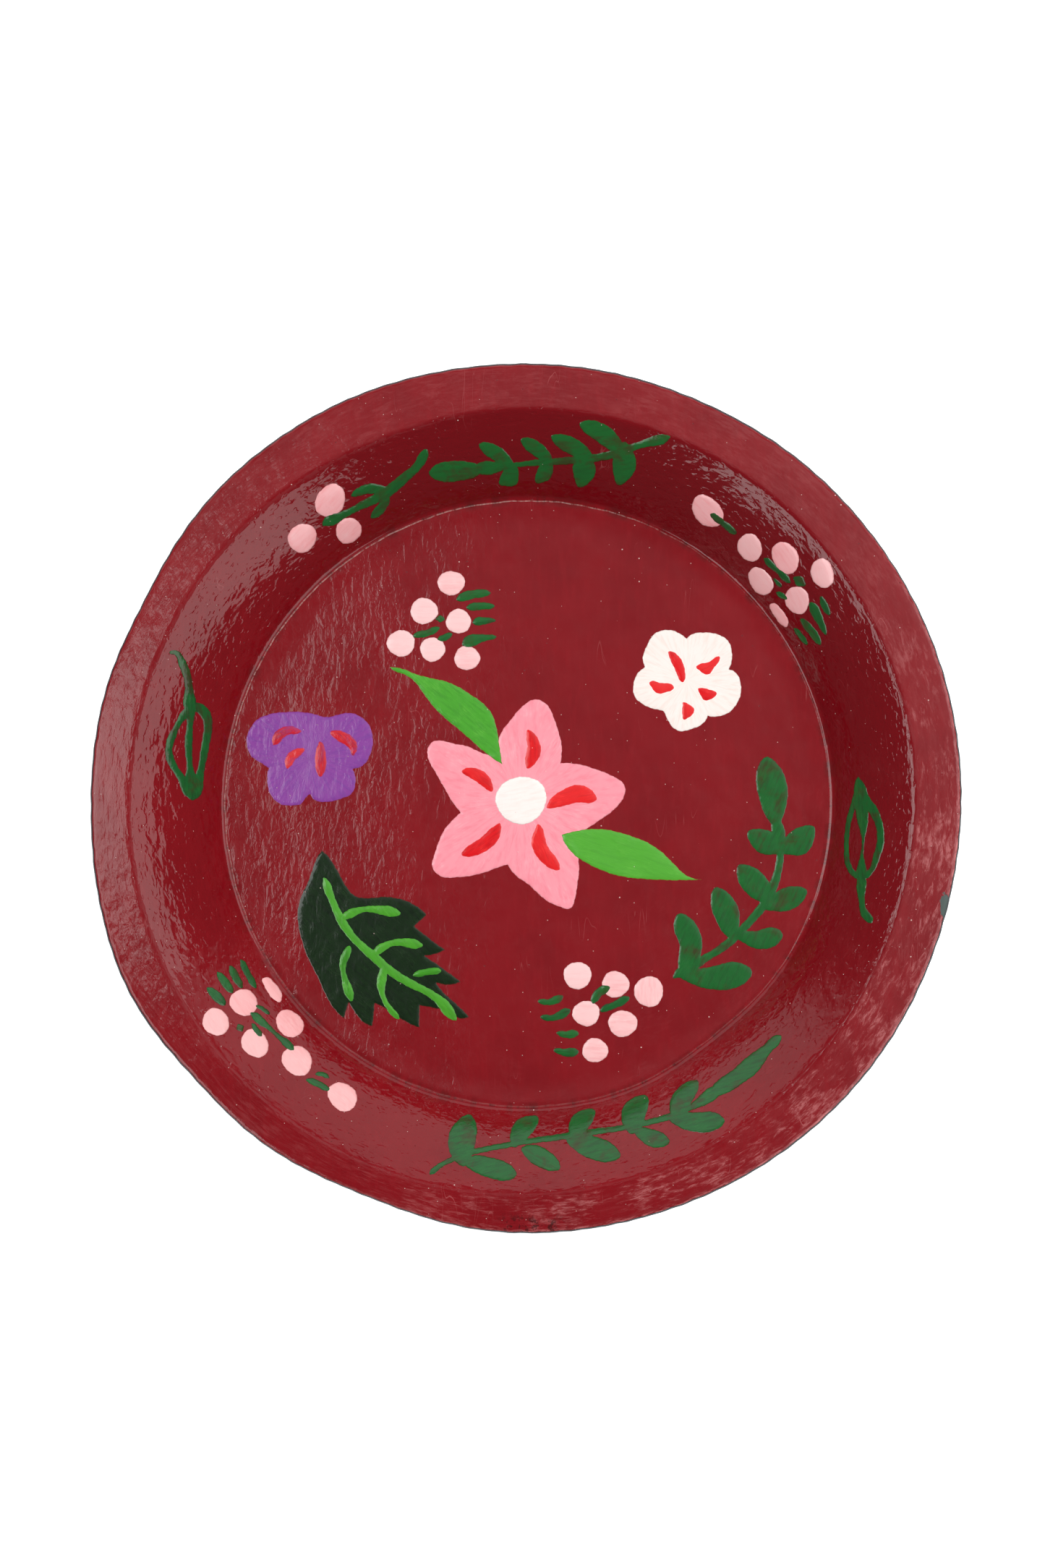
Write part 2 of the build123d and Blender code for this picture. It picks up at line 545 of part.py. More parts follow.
# ---- wall, left: an outlined leaf on its stalk ------------------------------
wall_left_leaf = [
    dab(
        [(-123, 50.8), (-121.5, 50.9), (-119.9, 48.6), (-118.2, 43.9), (-117.5, 38.4), (-117.5, 32)],
        [0.6, 0.9, 1.2, 1.4, 1.4, 1.6],
    ),
    dab([(-117.4, 34), (-117.4, 28), (-118, 20), (-117.6, 11), (-117, 2)], [1.4, 1.2, 1.3, 1.2, 1.8]),
    dab(
        [(-117, 32.8), (-113.8, 32), (-111.8, 27.6), (-112.4, 21.5), (-113.4, 15.5), (-114.6, 9), (-116.2, 1.6)],
        [1.3, 1.8, 1.5, 1.3, 1.2, 1.3, 1.2],
    ),
    dab(
        [(-118.2, 31.6), (-120.6, 27.6), (-123, 22.6), (-124.3, 17.4), (-123.4, 13), (-120.4, 8), (-117.4, 2)],
        [0.9, 1.0, 1.2, 1.2, 1.3, 1.3, 1.4],
    ),
]


def build():
    parts = {
        "tray_body": make_tray_body(),
        "rim_wire": make_rim_wire(),
        "base_lacquer": make_base_lacquer(),
        "rim_lacquer": make_rim_lacquer(),
        "ground_coat": make_ground_coat(),
        "face_enamel": make_face_enamel(),
    }

    petals = floor_film([centre_petals])
    eye = over_floor([centre_eye], petals)
    parts["centre_flower_petals"] = petals
    parts["centre_flower_eye"] = eye
    parts["centre_flower_strokes"] = over_floor(centre_strokes, petals, eye)
    parts["centre_flower_upper_leaf"] = over_floor([upper_leaf], petals)
    parts["centre_flower_lower_leaf"] = over_floor([lower_leaf], petals)

    petals = floor_film([white_petals])
    parts["white_flower_petals"] = petals
    parts["white_flower_strokes"] = over_floor(white_strokes, petals)

    petals = floor_film([purple_petals])
    parts["purple_flower_petals"] = petals
    parts["purple_flower_strokes"] = over_floor(purple_strokes, petals)

    blade = floor_film([leaf_blade])
    parts["dark_leaf_blade"] = blade
    parts["dark_leaf_veins"] = over_floor(leaf_veins, blade)

    for place_name, dots, strokes in (
        ("upper", upper_berries, upper_sprigs),
        ("lower", lower_berries, lower_sprigs),
    ):
        ripe = floor_film(dots)
        parts[f"{place_name}_berries"] = ripe
        parts[f"{place_name}_berry_leaves"] = over_floor(strokes, ripe)
    parts["right_floor_sprig"] = floor_film(right_sprig)

    for place_name, dots, strokes in (
        ("wall_upper_left", wall_left_berries, wall_left_sprig),
        ("wall_upper_right", wall_right_berries, wall_right_sprigs),
        ("wall_lower_left", wall_low_berries, wall_low_sprigs),
    ):
        ripe = wall_film(dots)
        parts[f"{place_name}_berries"] = ripe
        parts[f"{place_name}_berry_leaves"] = over_wall(strokes, ripe)
    parts["wall_far_sprig"] = wall_film(wall_top_sprig)
    parts["wall_near_sprig"] = wall_film(wall_bottom_sprig)
    parts["wall_right_leaf"] = wall_film(wall_right_leaf)
    parts["wall_left_leaf"] = wall_film(wall_left_leaf)
    return parts


def main():
    os.makedirs("parts", exist_ok=True)
    for name, shape in build().items():
        solids = shape.solids()
        print(name, len(solids), "solids", round(sum(s.volume for s in solids), 1), "mm3")
        export_step(Compound(children=list(solids)) if len(solids) > 1 else solids[0], f"parts/{name}.step")


main()
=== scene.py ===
import math

import bpy
import numpy as np
from mathutils import Matrix, Vector
from mathutils.bvhtree import BVHTree
from mathutils.geometry import delaunay_2d_cdt


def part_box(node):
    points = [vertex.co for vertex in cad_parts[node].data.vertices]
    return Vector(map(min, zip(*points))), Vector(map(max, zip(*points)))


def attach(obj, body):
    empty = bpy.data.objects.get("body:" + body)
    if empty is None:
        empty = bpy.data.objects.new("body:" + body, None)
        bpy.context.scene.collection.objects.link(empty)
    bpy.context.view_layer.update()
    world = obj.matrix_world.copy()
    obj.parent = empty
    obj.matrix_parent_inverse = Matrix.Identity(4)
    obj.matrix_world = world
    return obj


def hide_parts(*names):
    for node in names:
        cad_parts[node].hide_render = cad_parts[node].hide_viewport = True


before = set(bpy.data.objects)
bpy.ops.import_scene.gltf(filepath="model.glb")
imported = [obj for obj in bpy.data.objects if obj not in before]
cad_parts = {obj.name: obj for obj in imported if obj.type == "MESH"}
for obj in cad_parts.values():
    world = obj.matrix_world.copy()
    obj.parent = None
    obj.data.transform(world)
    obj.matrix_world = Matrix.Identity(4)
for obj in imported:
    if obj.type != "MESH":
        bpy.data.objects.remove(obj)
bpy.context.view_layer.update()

scene = bpy.context.scene
mm = 0.001
print("frame loaded,", len(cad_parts), "nodes")


# section of the tray, in millimetres and degrees
tray = {
    "radius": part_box("rim_lacquer")[1].x / mm,
    "lacquer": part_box("tray_body")[0].z / mm,
    "sheet": 0.9,
    "wire": 0.9,  # radius of the wire in the rolled edge
    "ground": 0.25,
    "enamel": 0.3,
    "paint": 0.16,
    "floorRadius": 107.0,  # where floor and wall would meet in a sharp corner
    "ridgeRadius": 136.0,
    "creaseBend": 4.0,
    "ridgeBend": 3.0,
    "footSlope": 50.0,
    "topSlope": 30.0,
    "brimSlope": -3.0,
    "coatsStop": -40.0,  # headings where the face's coats end, and where the roll does
    "rollEnd": -272.0,
    "step": 1.2,  # between the section's stations on straight runs and on bends
    "bendStep": 0.6,
}
steelLevel = tray["lacquer"] + tray["sheet"]  # the steel's upper face on the floor
enamelTop = tray["ground"] + tray["enamel"]
steelUnder = -tray["sheet"]
lacquerUnder = steelUnder - tray["lacquer"]
rollRadius = tray["wire"] + tray["sheet"]


def ahead(heading):
    return np.exp(1j * np.radians(heading))  # a place in the section is radius + i height


# stations along the steel's upper face, from the axis out and round the rolled edge
def layRun(start, heading, turn, size, step):
    length = abs(math.radians(turn)) * size if turn else size
    share = np.linspace(0, 1, max(2, math.ceil(length / step) + 1))
    headings = heading + turn * share
    if not turn:
        return start + share * size * ahead(heading), headings
    signed = math.copysign(size, turn)
    centre = start + 1j * ahead(heading) * signed
    return centre - 1j * ahead(headings) * signed, headings


def makeSection(step, bendStep):
    foot, top, brim = tray["footSlope"], tray["topSlope"], tray["brimSlope"]
    floorRun = tray["floorRadius"] - tray["creaseBend"] * math.tan(math.radians(foot / 2))
    rollCentre = tray["radius"] - rollRadius - tray["lacquer"]
    runs = [layRun(1j * steelLevel, 0, 0, floorRun, step)]
    runs.append(layRun(runs[-1][0][-1], 0, foot, tray["creaseBend"], bendStep))
    wallStart = runs[-1][0][-1]
    sines = math.sin(math.radians(foot)) - math.sin(math.radians(top))
    wallRadius = (tray["ridgeRadius"] - tray["ridgeBend"] / 2 - wallStart.real) / sines
    runs.append(layRun(wallStart, foot, top - foot, wallRadius, step))
    runs.append(layRun(runs[-1][0][-1], top, brim - top, tray["ridgeBend"], bendStep))
    brimStart = runs[-1][0][-1]
    lead = rollRadius * math.sin(math.radians(-brim))
    brimRun = (rollCentre + lead - brimStart.real) / math.cos(math.radians(brim))
    runs.append(layRun(brimStart, brim, 0, brimRun, step))
    runs.append(layRun(runs[-1][0][-1], brim, tray["coatsStop"] - brim, rollRadius, bendStep))
    rest = tray["rollEnd"] - tray["coatsStop"]
    runs.append(layRun(runs[-1][0][-1], tray["coatsStop"], rest, rollRadius, bendStep))
    ends, places, headings = [0], [runs[0][0][:1]], [runs[0][1][:1]]
    for line, turning in runs:
        places.append(line[1:])
        headings.append(turning[1:])
        ends.append(ends[-1] + len(line) - 1)
    names = ["axis", "floor", "crease", "wall", "ridge", "brim", "coats", "roll"]
    return {
        "place": np.concatenate(places),
        "heading": np.concatenate(headings),
        "end": dict(zip(names, ends)),
    }


section = makeSection(tray["step"], tray["bendStep"])


def offsetLine(line, height):
    return line["place"] + 1j * ahead(line["heading"]) * height


# how the hand-worked sheet departs from a true circle
handWork = {
    # dents and swellings: bearing, width in degrees, and how far out in mm
    "crease": [(308, 14, -1.9), (0, 75, -0.6)],
    "ridge": [(112, 12, -1.2), (335, 20, -0.9), (60, 25, 0.5), (235, 30, 0.6)],
    "edge": [(118, 14, 0.8), (153, 9, -1.6), (204, 12, 2.3), (248, 12, -2.2), (309, 18, 0.8),
             (66, 14, -0.8), (120, 70, 0.7), (133, 8, 0.5), (221, 8, -0.8), (190, 6, 0.4),
             (327, 14, 0.5), (38, 14, -0.3), (90, 14, -0.3)],
    "sway": {"crease": (-0.72, -0.31), "ridge": (-1.75, -0.75), "edge": (-0.5, 0.65)},
    # small flats left by the hammer: height, how many round the edge, and how unevenly spaced
    "facets": [(0.07, 131, 2, 9), (0.05, 83, 3, 5)],
    # waves of the brim's height: mm, how many round it, and where the first one starts
    "lift": [(0.45, 2, 40), (0.25, 3, 200), (0.12, 7, 10)],
    "liftFrom": (108, 146),
    "stillInside": 90,
    "edgeRing": 148,
}
warpRings = (0, handWork["stillInside"], tray["floorRadius"], tray["ridgeRadius"],
             handWork["edgeRing"])


def shiftOf(ring, bearing):
    sideways, up = handWork["sway"][ring]
    shift = sideways * np.cos(bearing) + up * np.sin(bearing)
    for centre, width, reach in handWork[ring]:
        gap = np.degrees(np.angle(np.exp(1j * (bearing - math.radians(centre)))))
        shift = shift + reach * np.exp(-((gap / width) ** 2))
    if ring == "edge":
        for reach, count, drift, driftCount in handWork["facets"]:
            shift = shift + reach * np.sin(count * bearing + drift * np.sin(driftCount * bearing))
    return shift


def outward(radius, bearing):
    # where a point of the true tray lies on the hand-worked one
    crease = np.interp(radius, warpRings, (0, 0, 1, 0, 0))
    ridge = np.interp(radius, warpRings, (0, 0, 0, 1, 0))
    edge = np.interp(radius, warpRings, (0, 0, 0, 0, 1))
    shift = crease * shiftOf("crease", bearing) + ridge * shiftOf("ridge", bearing)
    return radius + shift + edge * shiftOf("edge", bearing)


def inward(radius, bearing):
    # the way back, which settles within a few rounds
    nominal = radius
    for _ in range(6):
        nominal = nominal + radius - outward(nominal, bearing)
    return nominal


def liftAt(radius, bearing):
    waves = sum(a * np.sin(n * bearing + math.radians(p)) for a, n, p in handWork["lift"])
    return waves * np.interp(radius, handWork["liftFrom"], (0, 1))


# relief of the brushed enamel, a sum of short waves
surface = {
    "seed": 11, "waves": 70, "shortest": 3.2, "longest": 13.0, "height": 0.004,
    "turnSpread": 0.75,  # most waves run across the tray, some aslant
    "upturn": 0.34,  # the floor turns up by this much just before the crease
    "upturnFrom": 97, "upturnWidth": 8, "upturnFade": (105, 109),
    "onRoll": 0.4,  # share of the waves that is left on the rolled edge
}
waveDraw = np.random.default_rng(surface["seed"])
waveLength = waveDraw.uniform(surface["shortest"], surface["longest"], surface["waves"])
waveTurn = waveDraw.normal(0, surface["turnSpread"], surface["waves"])
wavePhase = waveDraw.uniform(0, math.tau, surface["waves"])


def relief(x, y, nominal):
    total = np.zeros_like(x)
    for length, turn, phase in zip(waveLength, waveTurn, wavePhase):
        k = math.tau / length
        along = x * math.cos(turn) + y * math.sin(turn)
        total += np.sin(k * along + phase) * length / surface["longest"]
    total *= surface["height"]
    rise = np.clip((nominal - surface["upturnFrom"]) / surface["upturnWidth"], 0, 1)
    fade = np.interp(nominal, surface["upturnFade"], (1, 0))
    return total + surface["upturn"] * rise * rise * fade


topLine = offsetLine(section, enamelTop)
outerEnd = section["end"]["brim"]
topRadius, topHeight = topLine.real[: outerEnd + 1], topLine.imag[: outerEnd + 1]
topSlope = section["heading"][: outerEnd + 1]


def enamelHeight(x, y):
    bearing = np.arctan2(y, x)
    nominal = inward(np.hypot(x, y), bearing)
    height = np.interp(nominal, topRadius, topHeight)
    height = height + liftAt(nominal, bearing) + relief(x, y, nominal)
    return height, np.radians(np.interp(nominal, topRadius, topSlope))


# meshes
def newMesh(name, points, faces, finish, creaseAngle=40):
    mesh = bpy.data.meshes.new(name)
    mesh.from_pydata((np.asarray(points) * mm).tolist(), [], faces)
    mesh.polygons.foreach_set("use_smooth", [True] * len(mesh.polygons))
    mesh.set_sharp_from_angle(angle=math.radians(creaseAngle))
    mesh.materials.append(finish)
    piece = bpy.data.objects.new(name, mesh)
    scene.collection.objects.link(piece)
    return piece


def addNumbers(piece, name, values):
    kind = "FLOAT_VECTOR" if np.ndim(values) == 2 else "FLOAT"
    made = piece.data.attributes.new(name, kind, "POINT")
    field = "vector" if kind == "FLOAT_VECTOR" else "value"
    made.data.foreach_set(field, np.asarray(values, np.float32).ravel())


def stitch(first, second):
    # two rings whose counts are equal, or one a multiple of the other
    if len(first) > len(second):
        return [face[::-1] for face in stitch(second, first)]
    share = len(second) // len(first)
    faces = []
    for index in range(len(first)):
        after = (index + 1) % len(first)
        run = [second[(index * share + step) % len(second)] for step in range(share + 1)]
        faces.append([first[after], first[index], *run])
    return faces


def ringCount(radius, most):
    # fewer corners round the smaller rings, halved step by step
    count, fewest = most, 40
    while count > fewest and radius < 0.5 * tray["radius"] * count / most:
        count //= 2
    return count


def turnCoat(name, finish, line, low, high, first, last, most, lowMost, detail=None):
    # a closed coat between two offsets of the section, warped with the sheet
    upper, lower = offsetLine(line, high), offsetLine(line, low)
    start, stop = line["end"][first], line["end"][last]
    profile = [(upper[i], most, True, i) for i in range(start, stop + 1)]
    profile += [(lower[i], lowMost, False, i) for i in range(stop, start - 1, -1)]
    points, rings, nominals, slants = [], [], [], []
    for place, top, isUpper, index in profile:
        onAxis = place.real < 0.01
        count = 1 if onAxis else ringCount(line["place"][index].real, top)
        bearing = math.tau * np.arange(count) / count
        radius = outward(place.real, bearing) if count > 1 else np.zeros(1)
        x, y = radius * np.cos(bearing), radius * np.sin(bearing)
        z = place.imag + liftAt(place.real, bearing)
        if detail and isUpper:
            fade = 1 if index < line["end"]["brim"] else surface["onRoll"]
            z = z + detail(x, y, np.full(count, place.real)) * fade
        base = len(nominals)
        rings.append(list(range(base, base + count)))
        points.extend(np.stack([x, y, z + 0 * x], 1))
        nominals.extend([place.real] * count)
        slants.extend([line["heading"][index]] * count)
    faces = []
    pairs = list(zip(rings, rings[1:]))
    if first != "axis":
        pairs.append((rings[-1], rings[0]))
    for one, two in pairs:
        if len(one) == 1:
            faces += [[one[0], two[i], two[(i + 1) % len(two)]] for i in range(len(two))]
        elif len(two) == 1:
            faces += [[two[0], one[(i + 1) % len(one)], one[i]] for i in range(len(one))]
        else:
            faces += stitch(one, two)
    piece = newMesh(name, points, faces, finish)
    addNumbers(piece, "ring", nominals)
    addNumbers(piece, "slant", slants)
    return piece


# finishes
class Tone:
    # one shader socket; sums and products of tones become Math nodes
    def __init__(self, recipe, socket):
        self.recipe = recipe
        self.socket = socket

    def maths(self, operation, first, second):
        return self.recipe.node("ShaderNodeMath", {"operation": operation}, {0: first, 1: second})

    def __add__(self, other):
        return self.maths("ADD", self, other)

    def __sub__(self, other):
        return self.maths("SUBTRACT", self, other)

    def __rsub__(self, other):
        return self.maths("SUBTRACT", other, self)

    def __mul__(self, other):
        return self.maths("MULTIPLY", self, other)

    __radd__ = __add__
    __rmul__ = __mul__


class Recipe:
    # a material or a sky being mixed: every node is added by node()
    def __init__(self, owner, shader="Principled BSDF", **fixed):
        owner.use_nodes = True
        self.owner, self.tree = owner, owner.node_tree
        self.shader = self.tree.nodes[shader]
        self.feed(**fixed)

    def node(self, kind, settings, inputs, output=0):
        made = self.tree.nodes.new(kind)
        for key, value in settings.items():
            setattr(made, key, value)
        for key, value in inputs.items():
            self.join(made.inputs[key], value)
        return Tone(self, made.outputs[output])

    def join(self, socket, value):
        if isinstance(value, Tone):
            self.tree.links.new(value.socket, socket)
        else:
            socket.default_value = value

    def feed(self, **sockets):
        for key, value in sockets.items():
            self.join(self.shader.inputs[key.replace("_", " ")], value)

    def number(self, name):
        return self.node("ShaderNodeAttribute", {"attribute_name": name}, {}, "Fac")

    def vector(self, name):
        return self.node("ShaderNodeAttribute", {"attribute_name": name}, {}, "Vector")

    def place(self):
        # millimetres in the tray's own frame
        spot = self.node("ShaderNodeTexCoord", {}, {}, "Object")
        return self.scaled(spot, (1000, 1000, 1000))

    def scaled(self, vector, by):
        return self.node("ShaderNodeVectorMath", {"operation": "MULTIPLY"}, {0: vector, 1: by})

    def turned(self, vector, degrees, by):
        spin = {"Rotation": (0, 0, math.radians(degrees)), "Scale": by}
        return self.node("ShaderNodeMapping", {}, {"Vector": vector, **spin})

    def part(self, vector, axis):
        return self.node("ShaderNodeSeparateXYZ", {}, {0: vector}, axis)

    def packed(self, x, y, z):
        return self.node("ShaderNodeCombineXYZ", {}, {0: x, 1: y, 2: z})

    def noise(self, vector, scale, detail=2.0, rough=0.5, bend=0.0):
        wanted = {"Vector": vector, "Scale": scale, "Detail": detail, "Roughness": rough}
        return self.node("ShaderNodeTexNoise", {}, {**wanted, "Distortion": bend})

    def strokes(self, vector, stretch, *kind):
        # noise drawn out along the tray's own far and near direction
        return self.noise(self.scaled(vector, (1.0, stretch, 1.0)), *kind)

    def cells(self, vector, scale, output):
        wanted = {"Vector": vector, "Scale": scale}
        return self.node("ShaderNodeTexVoronoi", {}, wanted, output)

    def between(self, value, low, high, least=0.0, most=1.0):
        wanted = {"Value": value, "From Min": low, "From Max": high, "To Min": least, "To Max": most}
        return self.node("ShaderNodeMapRange", {"interpolation_type": "SMOOTHSTEP"}, wanted)

    def size(self, value):
        return self.node("ShaderNodeMath", {"operation": "ABSOLUTE"}, {0: value})

    def mix(self, factor, first, second):
        return self.node("ShaderNodeMix", {"data_type": "RGBA"}, {0: factor, 6: first, 7: second}, 2)

    def bump(self, height, distance):
        wanted = {"Height": height, "Distance": distance * mm, "Strength": 1.0}
        return self.node("ShaderNodeBump", {}, wanted)


def ink(red, green, blue):
    # an sRGB colour, 0 to 255, as the linear colour that a shader takes
    made = []
    for level in (red, green, blue):
        level = level / 255
        made.append(level / 12.92 if level < 0.04045 else ((level + 0.055) / 1.055) ** 2.4)
    return (*made, 1.0)


def speckDots(recipe, place, perMm, size, share):
    # a dot of about that size in mm in some of the cells
    near = recipe.cells(place, perMm, "Distance")
    draw = recipe.part(recipe.cells(place, perMm, "Color"), "X")
    reach, softness = size * perMm, 0.55
    chosen = recipe.between(draw, share, share - 0.02)
    return recipe.between(near, reach, reach * softness) * chosen


def wanderingHair(recipe, place, turn, stretch, scale, bend, width, core):
    # fine winding lines where a stretched noise crosses its middle value
    noise = recipe.noise(recipe.turned(place, turn, (1, stretch, 1)), scale, 1, 0.5, bend)
    return recipe.between(recipe.size(noise - 0.5), width, core)


redPaint = {
    "body": ink(132, 12, 22), "deep": ink(116, 7, 17), "fresh": ink(142, 17, 27),
    # scuff also gives the painted highlight on the rolled edge, dust the painted highlight along the
    # crease, grime the painted shade at the wall foot
    "scuff": ink(206, 120, 120), "dustAndHighlight": ink(232, 196, 188), "dirt": ink(36, 12, 10),
    "chip": ink(66, 80, 76), "grimeAndShade": ink(70, 16, 14), "edge": ink(34, 36, 42),
    # how strongly each shows, from 0 to 1
    "clouds": 0.55, "streaks": 0.35, "upperRightShadeStrength": 0.95, "footShadeAndGrime": 0.5, "dirtDots": 0.45,
    "scuffs": 0.5, "haze": 0.05, "fineMarks": 0.45, "scratches": 0.8, "motes": 0.75,
    "pits": 0.5, "bareEdge": 0.9, "nearWear": 0.75,
    "polish": 0.045,  # roughness where the enamel is cleanest
    "relief": 0.085,  # height of the brush's wrinkles in mm
    "chipAt": (143.6, -37.5), "chipSize": 2.6,
    "nearSpotX": 2.0, "nearSpotWidth": 15,
    "round": 140,  # radius at which marks that run round the tray keep their true length
    "brushedSide": (30, -70),  # x in mm from where wrinkles begin to where they are strongest
    "wornSide": (20, 130),  # the same for wear of the brim, towards the lower right
}


def enamelZones(r, place):
    # masks of the floor, the wall and the brim, and vectors that run round the tray
    ring = r.number("ring")
    crease, ridge = tray["floorRadius"], tray["ridgeRadius"]
    flat = r.scaled(place, (1, 1, 0))
    heading = r.node("ShaderNodeVectorMath", {"operation": "NORMALIZE"}, {0: flat})
    roundBy = r.scaled(heading, (redPaint["round"], redPaint["round"], 0))
    roundX, roundY = r.part(roundBy, "X"), r.part(roundBy, "Y")
    return {
        "ring": ring, "roundBy": roundBy, "roundX": roundX, "roundY": roundY,
        "around": r.packed(roundX, roundY, ring * 5),  # long round the tray, short across it
        "floor": r.between(ring, crease, crease - 4),
        "wall": r.between(ring, crease - 1, crease + 2) * r.between(ring, ridge + 1, ridge - 1),
        "brim": r.between(ring, ridge - 0.5, ridge + 1),
    }


def brushedRelief(r, place, zone, leftness):
    # wrinkles left by the brush: up and down the floor, round the wall
    roundX, roundY, ring = zone["roundX"], zone["roundY"], zone["ring"]
    floorBrush = r.strokes(place, 0.4, 0.42, 3, 0.5, 0.7)
    fineFloor = r.strokes(place, 0.5, 1.0, 2, 0.5, 0.3)
    wallBrush = r.noise(r.packed(roundX * 0.36, roundY * 0.36, ring), 0.46, 1.5, 0.5, 0.35)
    wallPits = r.noise(r.packed(roundX * 0.45, roundY * 0.45, ring), 0.85, 1, 0.5, 0.3)
    brimBrush = r.noise(zone["around"], 0.16, 3, 0.55, 0.2)
    brimPits = r.strokes(place, 0.6, 0.4, 3, 0.5, 0.3)
    calm = r.between(r.noise(place, 0.02, 1), 0.35, 0.62)
    gathered = r.between(r.strokes(place, 0.6, 0.045, 2), 0.34, 0.62) * 0.75 + 0.35
    floorHeight = (floorBrush * 1.2 + fineFloor * 0.3) * (leftness * gathered * 1.75 + 0.25)
    wallHeight = wallBrush * (calm * 1.3 + 2.0) + r.between(wallPits, 0.46, 0.24) * -0.7
    brimHeight = (brimBrush + brimPits * 1.2) * (leftness * 0.9 + 0.35)
    return floorHeight * zone["floor"] + wallHeight * zone["wall"] + brimHeight * zone["brim"]


def coatTone(r, place, zone, rightUp):
    # thick and thin places of the coat, and painted shade on the wall towards the upper right
    cloud = r.noise(place, 0.035, 3, 0.55)
    streak = r.strokes(place, 0.2, 0.45, 3, 0.6)
    clouds = r.between(cloud, 0.35, 0.7) * redPaint["clouds"]
    colour = r.mix(clouds, redPaint["body"], redPaint["deep"])
    streaks = r.between(streak, 0.45, 0.75) * redPaint["streaks"]
    colour = r.mix(streaks, colour, redPaint["fresh"])
    upperRightShade = zone["wall"] * r.between(rightUp, -40, 90)  # painted shade: the wall darker towards the upper right
    return r.mix(upperRightShade * redPaint["upperRightShadeStrength"], colour, redPaint["deep"])


def footMarks(r, zone, colour, leftUp):
    # painted shade and grime at the foot of the wall, and pale dust with a painted highlight along
    # the crease
    ring, roundBy, crease = zone["ring"], zone["roundBy"], tray["floorRadius"]
    inner, outer = (crease - 3.4, crease - 1.4), (crease + 2.5, crease - 0.5)
    # painted shade, patchy like grime, in a band across the crease
    foot = r.between(ring, *inner) * r.between(ring, *outer)
    patchy = r.between(r.noise(roundBy, 0.14, 3, 0.6), 0.42, 0.68)
    colour = r.mix(foot * patchy * redPaint["footShadeAndGrime"], colour, redPaint["grimeAndShade"])
    waver = r.noise(roundBy, 0.09, 2) * 1.1
    line = r.between(r.size(ring + waver - (crease - 0.55)), 0.34, 0.06)
    broken = r.between(r.noise(roundBy, 0.5, 4, 0.7), 0.3, 0.62)
    # the pale line is a painted highlight as well as dust, strongest towards the upper left
    creaseHighlightAndDust = r.between(leftUp, 0, 130) * 0.34 + 0.06
    colour = r.mix(line * broken * creaseHighlightAndDust, colour, redPaint["dustAndHighlight"])
    dirtDots = r.between(r.noise(roundBy, 0.42, 4, 0.75), 0.53, 0.6)
    dirtBand = r.between(r.size(ring + waver - (crease - 0.3)), 0.6, 0.25)
    return r.mix(dirtDots * dirtBand * redPaint["dirtDots"], colour, redPaint["dirt"])


